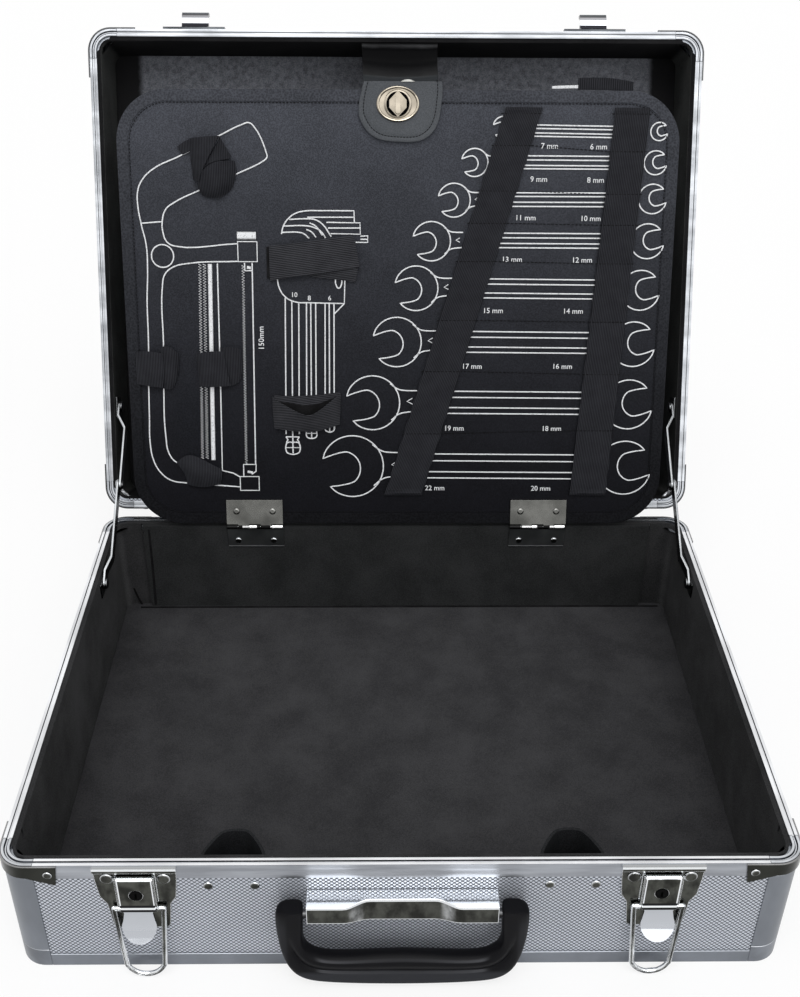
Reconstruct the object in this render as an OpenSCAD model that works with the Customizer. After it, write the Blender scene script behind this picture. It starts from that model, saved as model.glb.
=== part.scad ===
// Hard tool case with a hinged lid, a folding tool board, folding lid stays,
// two draw latches and a drop handle. The lid is drawn open on its stays.
// Origin: middle of the case's footprint, on the floor. X right, Y back, Z up.

/* [Case] */
// Outside width of the case
case_w = 460; // [400:1:540]
// Outside depth of the case, front face to back face
case_d = 360; // [310:1:420]
// Outside height of the closed case
case_h = 150; // [136:1:176]
// Height of the base up to the top of its rim
base_h = 88; // [86:1:104]
// Gap left between the two rims when the lid is down
rim_gap = 0.4; // [0.3:0.05:0.6]
// Outside radius of the upright corners
corner_r = 16; // [13:0.5:20]
// Angle at which the stays stop the lid
lid_open = 114.4; // [100:0.1:118]

/* [Walls] */
// Thickness of the aluminium edging where it shows
skin_t = 0.8; // [0.6:0.1:1.2]
// Thickness of the faced wall panels
panel_t = 6; // [4:0.5:8]
// Thickness of the cloth lining
lining_t = 1.6; // [1:0.1:2.4]
// Height of the rim extrusion on the outside
rim_band = 11; // [9:0.5:14]
// Thickness of the rim's flat top
rim_web = 2.2; // [1.8:0.1:3]
// Height of the rim's inner lip
rim_lip = 2.8; // [2.4:0.1:4]
// Width of the groove along the rim
groove_w = 2.4; // [1.6:0.1:3]
// Depth of the groove along the rim
groove_d = 1; // [0.6:0.1:1.2]
// Width of the edging along the floor and the lid top
edge_band = 10; // [8:0.5:13]
// Leg of a rim corner piece, from the corner
rim_corner_leg = 21; // [20.5:0.5:26]
// Leg of a cast corner cap, from the corner
cap_leg = 20; // [20:0.5:26]
// Height of a cast corner cap
cap_h = 14; // [12:0.5:18]
// Leg of an upright corner post, from the corner
post_leg = 20; // [20:0.5:24]

/* [Corner plates] */
// How far a dark corner plate reaches along each wall
corner_plate_leg = 34.5; // [30:0.5:42]
// Height of a corner plate at its ends
corner_plate_h = 15; // [12:0.5:20]
// Height of a corner plate round the corner itself
corner_plate_mid_h = 9; // [7:0.5:12]
// Thickness of the plated sheet parts
plate_t = 1.2; // [0.8:0.1:1.6]

/* [Latches] */
// Distance of each latch from the middle of the case
latch_x = 150; // [120:1:170]
// How far the pair of latches sits to the left
latch_shift = -1.8; // [-4:0.1:4]
// Width of the latch plate at the top
latch_plate_w = 47.6; // [42:0.2:54]
// Width of the latch plate at the foot
latch_foot_w = 33; // [31:0.5:38]
// Height of the latch plate's foot above the floor
latch_foot_z = 36.5; // [30:0.5:42]
// Height of the lever pivot below the rim
lever_drop = 8.4; // [7.5:0.1:10]
// How far the lever pivot stands off the front face
lever_proud = 3.6; // [3.4:0.1:4.4]
// Width of the latch lever
lever_w = 20; // [17:0.5:22]
// Distance from the lever pivot down to the bail pivot
bail_pivot_drop = 24; // [22:0.5:27]
// Length of the bail from its pivot to its end
bail_len = 52.5; // [48:0.5:53]
// Thickness of the bail wire
bail_wire = 2.4; // [2:0.1:2.8]
// Outside width of the bail at its pivots
bail_w = 31; // [29:0.5:34]
// Outside width of the bail at its end
bail_end_w = 24.8; // [24:0.2:28]
// Height of the catch hook above the rim plane
catch_z = 17; // [14:0.5:20]
// Width of the catch hook
catch_w = 20; // [16:0.5:21]
// How far the catch hook stands off the lid
catch_proud = 9.6; // [8.5:0.1:11]

/* [Handle] */
// Outside width of the handle
handle_w = 146; // [130:1:170]
// Height of the handle from the top of its arms to its grip's underside
handle_h = 55; // [48:0.5:60]
// Width of each handle arm
handle_arm_w = 17; // [14:0.5:20]
// Thickness of the handle, front to back
handle_t = 13; // [11:0.5:15]
// Height of the grip
grip_h = 15.5; // [13:0.5:18]
// Height of the handle pivot above the floor
handle_z = 57; // [54:0.5:64]
// How far the handle pivot stands off the front face
handle_proud = 9; // [8.2:0.1:11]
// Width of the chrome handle bracket
bracket_w = 110.4; // [96:0.2:112]

/* [Stays] */
// Distance of the base stay pivot in front of the lid hinge
stay_base_run = 82; // [76:1:90]
// Depth of the base stay pivot below the rim
stay_base_drop = 9; // [8:0.5:11]
// Distance of the lid stay pivot in front of the lid hinge
stay_lid_run = 83; // [77:1:91]
// Height of the lid stay pivot above the lid's rim
stay_lid_rise = 10.6; // [10:0.2:13]
// Length of the lower stay arm between its pivots
stay_lower_len = 81.5; // [79:0.5:82]
// Width of the stay arms
stay_w = 9; // [7:0.5:10]
// Thickness of the stay arms
stay_t = 1.5; // [1.2:0.1:1.8]

/* [Hinges] */
// Distance of the lid hinge axis behind the back face
hinge_back = 4; // [4:0.1:5]
// Height of the lid hinge axis above the base rim
hinge_rise = 2; // [1.8:0.1:2.4]
// Radius of the lid hinge knuckles
knuckle_r = 3.2; // [2.8:0.1:3.4]
// Radius of the lid hinge pins
pin_r = 1.5; // [1.2:0.1:1.6]
// Width of each lid hinge
hinge_w = 50; // [40:1:60]
// Distance of each lid hinge from the middle
hinge_x = 140; // [110:1:160]
// Height of the lid hinge leaves
hinge_leaf_h = 24; // [20:1:28]
// Running clearance of the hinge pins in their knuckles
pin_play = 0.06; // [0.04:0.01:0.09]

/* [Tool board] */
// Width of the tool board
board_w = 417.5; // [360:0.5:418]
// Length of the tool board
board_l = 329; // [300:0.5:330]
// Thickness of the bound edge
board_t = 4.6; // [4:0.1:5.4]
// Thickness of the board itself
board_core_t = 3.2; // [2.4:0.1:3.6]
// Width of the binding tape
binding_w = 8.5; // [6:0.5:11]
// Corner radius of the board
board_r = 38; // [30:1:46]
// Angle by which the open board leans back
board_lean = 19.5; // [15:0.5:22]
// Thickness of the covered backing board that the board hinges are fixed to
backing_t = 4; // [3:0.5:5]
// Width of the covered backing board
backing_w = 402; // [370:1:416]
// Radius of the board hinge barrels
barrel_r = 2; // [1.8:0.1:2.2]
// Radius of the board hinge pins
barrel_pin_r = 1; // [0.8:0.1:1.1]
// Width of each board hinge
board_hinge_w = 44; // [36:1:52]
// Distance of each board hinge from the middle
board_hinge_x = 111.5; // [90:0.5:125]
// Height of the upper leaf of a board hinge
upper_leaf_h = 22; // [20:0.5:26]
// Height of the lower leaf of a board hinge
lower_leaf_h = 19; // [17:0.5:23]
// Thickness of the board hinge leaves
leaf_t = 1.2; // [1:0.1:1.4]

/* [Soft parts] */
// Width of the strap and its tab
strap_w = 57.5; // [48:0.5:64]
// Thickness of the strap
strap_t = 2; // [1.6:0.1:2.6]
// Thickness of the elastic bands and loops
band_t = 1.6; // [1.2:0.1:2]
// Distance between the two rivets of a bowed tool loop on the front wall
loop_rivets = 26.6; // [22:0.2:32]
// Distance of each tool loop from the middle of the case
loop_x = 98; // [90:0.5:104]
// Height of the tool loop band
loop_h = 22; // [18:0.5:26]
// Outside radius of the bow of a tool loop
loop_r = 17.5; // [15:0.5:20]
// Thickness of the tool loop band
loop_t = 2; // [1.6:0.1:2.4]

/* [Hidden] */
$fn = 48;

aluminium = [0.80, 0.81, 0.83];
faced = [0.66, 0.69, 0.74];
chrome = [0.86, 0.87, 0.88];
dark_chrome = [0.30, 0.30, 0.32];
black_cloth = [0.11, 0.12, 0.12];
black_plastic = [0.07, 0.07, 0.08];

lid_h = case_h - base_h - rim_gap;
panel_in = skin_t + panel_t;
rim_w = panel_in + skin_t;
lining_in = panel_in + lining_t;
floor_top = panel_in + lining_t;
front_y = -case_d / 2;
hinge_y = case_d / 2 + hinge_back;
hinge_z = base_h + hinge_rise;
run_w = case_w - 2 * corner_r;
run_d = case_d - 2 * corner_r;
play = 0.3;

lever_z = base_h - lever_drop;
bail_z = lever_z - bail_pivot_drop;
bail_proud = lever_proud - 0.3;
latch_centres = [latch_shift - latch_x, latch_shift + latch_x];
lever_bar_t = 1.2;
lever_front = lever_proud + 2.2;
cheek_t = 1;
latch_rivet_x = 16.1;
latch_rivet_z = base_h - 9.4;
stub_r = bail_wire / 2;

board_y = case_d / 2 - lining_in - backing_t - barrel_r;
board_z = base_h;
board_front = barrel_r - leaf_t;
board_foot = barrel_r + 1;
core_front = board_front - (board_t - board_core_t) / 2;
board_head = board_foot + board_l;

arm_out_x = case_w / 2 - lining_in - 1.1 - play;
lower_mid_x = arm_out_x - 4;
upper_mid_x = lower_mid_x - stay_t - play;
stay_base = [case_d / 2 + hinge_back - stay_base_run, base_h - stay_base_drop];
stay_lid_shut = [hinge_y - stay_lid_run, base_h + rim_gap + stay_lid_rise];
stay_lid = turned(stay_lid_shut, -lid_open);
stay_span = norm(stay_lid - stay_base);
stay_angle = atan2(stay_lid[1] - stay_base[1], stay_lid[0] - stay_base[0]);
stay_upper_len = stay_span - stay_lower_len;

// A point of the shut lid, as [y, z], after the lid has turned about its hinge
function turned(p, a) = [
    hinge_y + (p[0] - hinge_y) * cos(a) - (p[1] - hinge_z) * sin(a),
    hinge_z + (p[0] - hinge_y) * sin(a) + (p[1] - hinge_z) * cos(a)
];

// Placing helpers

// Extrudes an outline of [y, z] points from x0 to x1
module along_x(x0, x1) {
    translate([x0, 0, 0]) rotate([90, 0, 90]) linear_extrude(x1 - x0) children();
}

// Extrudes an outline of [x, z] points from y0 to y1
module along_y(y0, y1) {
    translate([0, y1, 0]) rotate([90, 0, 0]) linear_extrude(y1 - y0) children();
}

// Moves something drawn on the front face to a place on it: z up, proud of the face
module on_front(x, z, proud) {
    translate([x, front_y - proud, z]) rotate([90, 0, 0]) children();
}

// The lid's own frame: children are drawn on the shut lid and turn open with it
module lid_frame() {
    translate([0, hinge_y, hinge_z]) rotate([-lid_open, 0, 0])
        translate([0, -hinge_y, -hinge_z]) children();
}

// The shut lid drawn upside down, so that it shares the base's wall modules
module lid_shell() {
    lid_frame() translate([0, 0, case_h]) mirror([0, 0, 1]) children();
}

// The board's own frame: x across, y up the board, z out of its front
module board_frame() {
    translate([0, board_y, board_z]) rotate([90 - board_lean, 0, 0]) children();
}

module both_sides() {
    children();
    mirror([1, 0, 0]) children();
}

module front_and_back() {
    children();
    mirror([0, 1, 0]) children();
}

module at_latches() {
    for (x = latch_centres) translate([x, 0, 0]) children();
}

// Runs a [depth in the wall, z] outline along the front and back walls
module front_runs(length) {
    front_and_back() along_x(-length / 2, length / 2) translate([front_y, 0]) children();
}

// Runs a [depth in the wall, z] outline along the two side walls
module side_runs(length) {
    both_sides() rotate([0, 0, -90])
        along_x(-length / 2, length / 2) translate([-case_w / 2, 0]) children();
}

// Runs a [depth in the wall, z] outline round each upright corner, with straight legs
module corner_runs(leg) {
    both_sides() front_and_back() {
        translate([corner_r - case_w / 2, corner_r - case_d / 2, 0]) rotate([0, 0, 180])
            rotate_extrude(angle = 90) translate([corner_r, 0]) mirror([1, 0]) children();
        if (leg > corner_r) {
            along_x(-case_w / 2 + corner_r, -case_w / 2 + leg) translate([front_y, 0]) children();
            rotate([0, 0, -90]) along_x(case_d / 2 - leg, case_d / 2 - corner_r)
                translate([-case_w / 2, 0]) children();
        }
    }
}

// A rectangle with round corners, centred
module round_rect(w, d, r) {
    square([w - 2 * r, d], center = true);
    square([w, d - 2 * r], center = true);
    for (x = [-1, 1], y = [-1, 1]) translate([x * (w / 2 - r), y * (d / 2 - r)]) circle(r);
}

// The plan of the case, drawn in by a distance from its outside
module case_plan(inset) {
    round_rect(case_w - 2 * inset, case_d - 2 * inset, corner_r - inset);
}

// A domed rivet: the head stands on z = 0 and the shank runs down by grip
module rivet(head_r, head_h, grip, shank_r) {
    cylinder(h = head_h * 0.5, r = head_r);
    translate([0, 0, head_h * 0.5]) cylinder(h = head_h * 0.5, r1 = head_r, r2 = head_r * 0.62);
    translate([0, 0, -grip]) cylinder(h = grip, r = shank_r);
}

// Wall outlines, as [depth in from the outside, height], for a shell of height h

module rim_outline(h) {
    mid = rim_w / 2;
    polygon([
        [0, h - rim_band], [skin_t, h - rim_band], [skin_t, h - rim_web],
        [panel_in, h - rim_web], [panel_in, h - rim_web - rim_lip], [rim_w, h - rim_web - rim_lip], [rim_w, h],
        [mid + groove_w / 2, h], [mid + groove_w / 2 - 0.4, h - groove_d],
        [mid - groove_w / 2 + 0.4, h - groove_d], [mid - groove_w / 2, h], [0, h]
    ]);
}

module edge_outline(h) {
    polygon([[0, 0], [edge_band, 0], [edge_band, skin_t], [skin_t, skin_t], [skin_t, h], [0, h]]);
}

module box_outline(t0, t1, z0, z1) {
    translate([t0, z0]) square([t1 - t0, z1 - z0]);
}

// Shell pieces shared by the base and the upturned lid

module shell_panel_outline(h) {
    box_outline(skin_t, panel_in, skin_t, h - rim_web);
}

module shell_floor() {
    translate([0, 0, skin_t]) linear_extrude(panel_t) case_plan(panel_in);
    linear_extrude(skin_t) case_plan(edge_band);
}

module shell_posts(h) {
    corner_runs(post_leg) box_outline(0, skin_t, cap_h, h - rim_band);
    corner_runs(corner_r) box_outline(skin_t, panel_in, skin_t, h - rim_web);
}

module shell_corner_plates(h) {
    top = h - 0.4;
    module sheet() { box_outline(-plate_t, 0, top - corner_plate_mid_h, top); }
    module leg_outline() {
        polygon([
            [-case_w / 2 + corner_r, top - corner_plate_mid_h], [-case_w / 2 + corner_r, top],
            [-case_w / 2 + corner_plate_leg, top],
            [-case_w / 2 + corner_plate_leg - 2, top - corner_plate_h]
        ]);
    }
    both_sides() front_and_back() {
        translate([corner_r - case_w / 2, corner_r - case_d / 2, 0]) rotate([0, 0, 180])
            rotate_extrude(angle = 90) translate([corner_r, 0]) mirror([1, 0]) sheet();
        along_y(front_y - plate_t, front_y) leg_outline();
        translate([-case_w / 2 - plate_t / 2, front_y + case_w / 2, 0]) rotate([0, 0, 90])
            along_y(-plate_t / 2, plate_t / 2) leg_outline();
    }
}

// Rivets and the bores that they pass through

corner_rivet_x = corner_plate_leg - 5.5;
corner_rivet_z = 6.6;

module at_front_corner_rivets(h) {
    front_and_back() both_sides()
        on_front(corner_rivet_x - case_w / 2, h - corner_rivet_z, plate_t) children();
}

module at_side_corner_rivets(h) {
    both_sides() front_and_back()
        translate([-case_w / 2 - plate_t, front_y + corner_rivet_x, h - corner_rivet_z])
            rotate([0, -90, 0]) children();
}

module corner_rivets(h) {
    at_front_corner_rivets(h) rivet(2.6, 1.1, plate_t + panel_in, 1.4);
    at_side_corner_rivets(h) rivet(2.6, 1.1, plate_t + panel_in, 1.4);
}

module corner_rivet_bores(h) {
    at_front_corner_rivets(h) translate([0, 0, -20]) cylinder(h = 22, r = 1.4);
    at_side_corner_rivets(h) translate([0, 0, -20]) cylinder(h = 22, r = 1.4);
}

module at_latch_rivets() {
    at_latches() for (x = [-latch_rivet_x, latch_rivet_x])
        on_front(x, latch_rivet_z, plate_t) children();
}

module at_loop_rivets() {
    for (s = [-1, 1], e = [-0.5, 0.5])
        on_front(s * loop_x + e * loop_rivets, loop_z + loop_h / 2, -skin_t) children();
}

bracket_rivet_x = 24;
bracket_back = plate_t - skin_t;
module at_bracket_rivets() {
    for (x = [-bracket_rivet_x, bracket_rivet_x]) on_front(x, handle_z, bracket_back) children();
}

hinge_rivet_z = base_h - 17.5;
module at_rear_rivets(z) {
    for (s = [-1, 1], e = [-0.34, 0.34])
        translate([s * hinge_x + e * hinge_w, case_d / 2 + plate_t, z])
            rotate([-90, 0, 0]) children();
}

lower_screw_z = base_h - 13.5;
module at_lower_screws() {
    for (s = [-1, 1], e = [-0.32, 0.32])
        translate([s * board_hinge_x + e * board_hinge_w, board_y + barrel_r - leaf_t, lower_screw_z])
            rotate([90, 0, 0]) children();
}

upper_screw_u = 13;
module at_upper_screws() {
    for (s = [-1, 1], e = [-0.32, 0.32])
        translate([s * board_hinge_x + e * board_hinge_w, upper_screw_u, barrel_r]) children();
}

loop_z = base_h - 29;
latch_grip = plate_t + panel_in;
screw_grip = leaf_t + backing_t + lining_t + panel_t - 1;

module base_bores() {
    corner_rivet_bores(base_h);
    at_latch_rivets() translate([0, 0, -latch_grip]) cylinder(h = latch_grip + 1, r = 1.5);
    at_loop_rivets() translate([0, 0, -20]) cylinder(h = 21, r = 1.3);
    at_bracket_rivets() translate([0, 0, -plate_t - panel_t]) cylinder(h = panel_t + plate_t + 1, r = 1.5);
    at_rear_rivets(hinge_rivet_z) translate([0, 0, -latch_grip]) cylinder(h = latch_grip + 1, r = 1.5);
    at_lower_screws() translate([0, 0, -screw_grip]) cylinder(h = screw_grip + 1, r = 1.2);
}

catch_rivet_x = 17.5;
catch_rivet_z = 5.6;
module at_catch_rivets() {
    at_latches() for (x = [-catch_rivet_x, catch_rivet_x])
        on_front(x, base_h + rim_gap + catch_rivet_z, plate_t) children();
}

lid_hinge_rivet_z = base_h + rim_gap + 20.5;
module lid_bores() {
    translate([0, 0, case_h]) mirror([0, 0, 1]) corner_rivet_bores(lid_h);
    at_catch_rivets() translate([0, 0, -latch_grip]) cylinder(h = latch_grip + 1, r = 1.3);
    at_rear_rivets(lid_hinge_rivet_z) translate([0, 0, -latch_grip]) cylinder(h = latch_grip + 1, r = 1.5);
}

// Base shell

module base_front_panel() {
    color(faced) difference() {
        along_x(-run_w / 2, run_w / 2) translate([front_y, 0]) shell_panel_outline(base_h);
        base_bores();
    }
}

module base_back_panel() {
    color(faced) difference() {
        mirror([0, 1, 0]) along_x(-run_w / 2, run_w / 2)
            translate([front_y, 0]) shell_panel_outline(base_h);
        base_bores();
    }
}

module base_side_panels() {
    color(faced) difference() {
        side_runs(run_d) shell_panel_outline(base_h);
        base_bores();
    }
}

module base_floor_panel() {
    color(faced) shell_floor();
}

module base_corner_posts() {
    color(aluminium) shell_posts(base_h);
}

module base_bottom_edges() {
    color(aluminium) {
        front_runs(case_w - 2 * cap_leg) edge_outline(edge_band);
        side_runs(case_d - 2 * cap_leg) edge_outline(edge_band);
    }
}

module base_corner_caps() {
    color(aluminium) corner_runs(cap_leg) edge_outline(cap_h);
}

module base_rim() {
    color(aluminium) difference() {
        union() {
            front_runs(case_w - 2 * rim_corner_leg) rim_outline(base_h);
            side_runs(case_d - 2 * rim_corner_leg) rim_outline(base_h);
        }
        base_bores();
    }
}

module base_rim_corners() {
    color(aluminium) corner_runs(rim_corner_leg) rim_outline(base_h);
}

module base_corner_plates() {
    color(dark_chrome) difference() {
        shell_corner_plates(base_h);
        corner_rivet_bores(base_h);
    }
}

lining_top = base_h - rim_web - rim_lip;
module wall_lining(top) {
    front_runs(run_w) box_outline(panel_in, lining_in, panel_in, top);
    side_runs(run_d) box_outline(panel_in, lining_in, panel_in, top);
    corner_runs(corner_r) box_outline(panel_in, lining_in, panel_in, top);
}

module base_wall_lining() {
    color(black_cloth) difference() {
        wall_lining(lining_top);
        base_bores();
    }
}

module base_floor_lining() {
    color(black_cloth) translate([0, 0, panel_in]) linear_extrude(lining_t) case_plan(lining_in);
}

// Cloth-covered board on the back wall, which the tool board's hinges are screwed to
backing_top = base_h - 1;
module hinge_backing() {
    color(black_cloth) difference() {
        translate([-backing_w / 2, case_d / 2 - lining_in - backing_t, floor_top])
            cube([backing_w, backing_t, backing_top - floor_top]);
        base_bores();
    }
}

// A strap bowed out of the front wall, its ends turned flat under two rivets
module tool_loop() {
    mid = lining_in + loop_r * 0.47;
    foot = loop_rivets / 2 + 4;
    translate([0, front_y, loop_z]) linear_extrude(loop_h) {
        difference() {
            translate([0, mid]) circle(loop_r);
            translate([0, mid]) circle(loop_r - loop_t);
            translate([-loop_r - 1, -loop_r]) square([2 * loop_r + 2, lining_in + loop_r]);
        }
        for (s = [0, 1]) mirror([s, 0]) translate([loop_rivets / 2 - 4.5, lining_in])
            square([foot - loop_rivets / 2 + 4.5, loop_t]);
    }
}

module tool_loops() {
    color(black_cloth) difference() {
        for (s = [-1, 1]) translate([s * loop_x, 0, 0]) tool_loop();
        base_bores();
    }
}

module base_fasteners() {
    color(chrome) {
        corner_rivets(base_h);
        at_latch_rivets() rivet(3.9, 1.5, latch_grip, 1.5);
        at_loop_rivets() rivet(2.9, 1.2, lining_in + loop_t - skin_t, 1.3);
        at_bracket_rivets() rivet(3, 1, plate_t + panel_t, 1.5);
        at_rear_rivets(hinge_rivet_z) rivet(3.2, 1.2, latch_grip, 1.5);
        at_lower_screws() rivet(2.6, 1.1, screw_grip, 1.2);
    }
}

// A bearer for a hinge or stay pin at each side of the base
module stay_bracket(y, z, z0, z1) {
    x = case_w / 2 - lining_in;
    both_sides() {
        translate([x - 1.1, y - 8, z0]) cube([1.1, 16, z1 - z0]);
        translate([x - 1.1, y, z]) rotate([0, -90, 0]) cylinder(h = stay_t + 2 * play, r = 2.5 - 0.05);
        translate([x - 1.1 - stay_t - 2 * play, y, z]) rotate([0, -90, 0]) {
            cylinder(h = 0.8, r = 4.2);
            translate([0, 0, 0.8]) cylinder(h = 0.7, r1 = 4.2, r2 = 2.8);
        }
    }
}

module stay_base_brackets() {
    color(chrome) stay_bracket(stay_base[0], stay_base[1], stay_base[1] - 8, lining_top - play);
}

// Rear hinges

knuckles = 5;
module rear_hinge_leaf() {
    pitch = hinge_w / knuckles;
    along_x(-hinge_w / 2, hinge_w / 2) translate([case_d / 2, 0]) polygon([
        [-skin_t, base_h - hinge_leaf_h], [plate_t, base_h - hinge_leaf_h], [plate_t, base_h - 0.4],
        [0, base_h - 0.4], [0, base_h - rim_band], [-skin_t, base_h - rim_band]
    ]);
    for (i = [0 : 2 : knuckles - 1]) translate([pitch * i - hinge_w / 2, 0, 0]) hinge_knuckle(pitch);
}

// One knuckle of the base leaf with the curl that joins it to its leaf
module hinge_knuckle(pitch) {
    along_x(0, pitch - play) difference() {
        union() {
            translate([hinge_y, hinge_z]) circle(knuckle_r);
            translate([case_d / 2, hinge_z - knuckle_r]) square([hinge_back, plate_t]);
        }
        translate([hinge_y, hinge_z]) circle(pin_r + pin_play);
    }
}

module rear_hinge_base_leaves() {
    color(chrome) difference() {
        for (s = [-1, 1]) translate([s * hinge_x, 0, 0]) rear_hinge_leaf();
        base_bores();
    }
}

module rear_hinge_lid_leaves() {
    pitch = hinge_w / knuckles;
    leaf_z = hinge_z + knuckle_r - plate_t;
    color(chrome) lid_frame() difference() {
        for (s = [-1, 1]) translate([s * hinge_x, 0, 0]) {
            along_x(-hinge_w / 2, hinge_w / 2 - play) translate([case_d / 2, 0]) polygon([
                [0, leaf_z], [plate_t, leaf_z], [plate_t, leaf_z + hinge_leaf_h],
                [-skin_t, leaf_z + hinge_leaf_h], [-skin_t, base_h + rim_gap + rim_band],
                [0, base_h + rim_gap + rim_band]
            ]);
            for (i = [1 : 2 : knuckles - 2]) translate([pitch * i - hinge_w / 2, 0, 0])
                along_x(0, pitch - play) difference() {
                    union() {
                        translate([hinge_y, hinge_z]) circle(knuckle_r);
                        translate([case_d / 2, leaf_z]) square([hinge_back, plate_t]);
                    }
                    translate([hinge_y, hinge_z]) circle(pin_r + pin_play);
                }
        }
        lid_bores();
    }
}

// Board hinges

barrel_third = board_hinge_w / 5;
module board_hinge_lower_leaves() {
    color(chrome) difference() {
        for (s = [-1, 1]) translate([s * board_hinge_x - board_hinge_w / 2, 0, 0]) {
            along_x(0, board_hinge_w) translate([board_y + barrel_r - leaf_t, board_z - lower_leaf_h])
                square([leaf_t, lower_leaf_h - barrel_r - 0.4]);
            for (i = [0 : 2 : 4]) along_x(barrel_third * i, barrel_third * (i + 1) - play) difference() {
                union() {
                    translate([board_y, board_z]) circle(barrel_r);
                    translate([board_y + barrel_r - leaf_t, board_z - barrel_r - 1]) square([leaf_t, barrel_r + 1]);
                }
                translate([board_y, board_z]) circle(barrel_pin_r + pin_play);
            }
        }
        base_bores();
    }
}

module board_hinge_upper_leaves() {
    color(chrome) board_frame() difference() {
        for (s = [-1, 1]) translate([s * board_hinge_x - board_hinge_w / 2, 0, 0]) {
            along_x(0, board_hinge_w) translate([barrel_r + 0.4, board_front])
                square([upper_leaf_h - barrel_r - 0.4, leaf_t]);
            for (i = [1, 3]) along_x(barrel_third * i, barrel_third * (i + 1) - play) difference() {
                union() {
                    circle(barrel_r);
                    translate([0, board_front]) square([barrel_r + 1, leaf_t]);
                }
                circle(barrel_pin_r + pin_play);
            }
        }
        at_upper_screws() translate([0, 0, -10]) cylinder(h = 11, r = 1.2);
    }
}

module hinge_pins() {
    color(chrome) for (s = [-1, 1]) {
        translate([s * hinge_x - hinge_w / 2, hinge_y, hinge_z]) rotate([0, 90, 0])
            cylinder(h = hinge_w - play, r = pin_r);
        translate([s * board_hinge_x - board_hinge_w / 2, board_y, board_z]) rotate([0, 90, 0])
            cylinder(h = board_hinge_w - play, r = barrel_pin_r);
    }
}

// Rubber feet on the back, for standing the case upright

foot_r = 8;
foot_h = 5;
foot_x = 201;
module rear_foot(z) {
    translate([0, case_d / 2 - skin_t, z]) rotate([-90, 0, 0]) {
        cylinder(h = foot_h + skin_t - 1, r = foot_r);
        translate([0, 0, foot_h + skin_t - 1]) cylinder(h = 1, r1 = foot_r, r2 = foot_r - 1);
    }
}

base_foot_z = 24;
lid_foot_drop = 24;
module base_rear_feet() {
    color(black_plastic) both_sides() translate([foot_x, 0, 0]) rear_foot(base_foot_z);
}

module lid_rear_feet() {
    color(black_plastic) lid_frame()
        both_sides() translate([foot_x, 0, 0]) rear_foot(case_h - lid_foot_drop);
}

// Handle and its bracket

bracket_top = base_h - 21.5;
bracket_end_proud = 13;
bracket_mid_proud = 7;
bracket_end_low = bracket_top - 14;
bracket_mid_low = bracket_top - 18.5;
bracket_flat = 37;
bracket_slope = 14;

// The bracket seen from above: flat in the middle, standing out at each end
module bracket_plan(inset) {
    half = bracket_w / 2 - inset;
    in_x = bracket_flat / 2;
    out_x = in_x + bracket_slope;
    polygon([
        [-half, -bracket_back], [half, -bracket_back], [half, -bracket_end_proud + inset],
        [out_x, -bracket_end_proud + inset], [in_x, -bracket_mid_proud + inset],
        [-in_x, -bracket_mid_proud + inset], [-out_x, -bracket_end_proud + inset],
        [-half, -bracket_end_proud + inset]
    ]);
}

module bracket_face() {
    half = bracket_w / 2;
    in_x = bracket_flat / 2;
    out_x = in_x + bracket_slope;
    polygon([
        [-half, bracket_end_low], [-out_x, bracket_end_low], [-in_x, bracket_mid_low],
        [in_x, bracket_mid_low], [out_x, bracket_end_low], [half, bracket_end_low],
        [half, bracket_top], [-half, bracket_top]
    ]);
}

handle_pin_r = 2.5;
module handle_bracket() {
    half = bracket_w / 2;
    color(chrome) difference() {
        union() {
            intersection() {
                translate([0, front_y, bracket_mid_low - 2]) linear_extrude(bracket_top - bracket_mid_low + 2)
                    difference() {
                        bracket_plan(0);
                        translate([0, 2]) bracket_plan(plate_t);
                        translate([0, -2]) square([bracket_w - 2 * plate_t, 8], center = true);
                    }
                along_y(front_y - bracket_end_proud - 1, front_y + 1) bracket_face();
            }
            translate([0, front_y, bracket_top - plate_t]) linear_extrude(plate_t) bracket_plan(0);
            translate([-half, front_y - bracket_back, bracket_end_low])
                cube([bracket_w, plate_t, bracket_top - bracket_end_low]);
        }
        handle_pin_bore();
        base_bores();
    }
}

module handle_pin_bore() {
    translate([-handle_w, front_y - handle_proud, handle_z]) rotate([0, 90, 0])
        cylinder(h = 2 * handle_w, r = handle_pin_r);
}

handle_top = handle_z + 7;
handle_low = handle_top - handle_h;
handle_foot_r = 27;
arm_gap = bracket_w / 2 + play;
module handle_outline() {
    inner_w = 2 * arm_gap;
    inner_low = handle_low + grip_h;
    r_in = handle_foot_r - handle_arm_w + 3;
    difference() {
        union() {
            translate([-handle_w / 2, handle_low + handle_foot_r])
                square([handle_w, handle_top - handle_low - handle_foot_r - 5]);
            translate([-handle_w / 2 + 5, handle_top - 6]) square([handle_w - 10, 6]);
            translate([-handle_w / 2 + handle_foot_r, handle_low])
                square([handle_w - 2 * handle_foot_r, handle_foot_r + 1]);
            for (s = [-1, 1]) {
                translate([s * (handle_w / 2 - handle_foot_r), handle_low + handle_foot_r]) circle(handle_foot_r);
                translate([s * (handle_w / 2 - 5), handle_top - 5]) circle(5);
            }
        }
        translate([-inner_w / 2, inner_low + r_in]) square([inner_w, handle_h]);
        translate([-inner_w / 2 + r_in, inner_low]) square([inner_w - 2 * r_in, handle_h]);
        for (s = [-1, 1]) translate([s * (inner_w / 2 - r_in), inner_low + r_in]) circle(r_in);
    }
}

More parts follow.
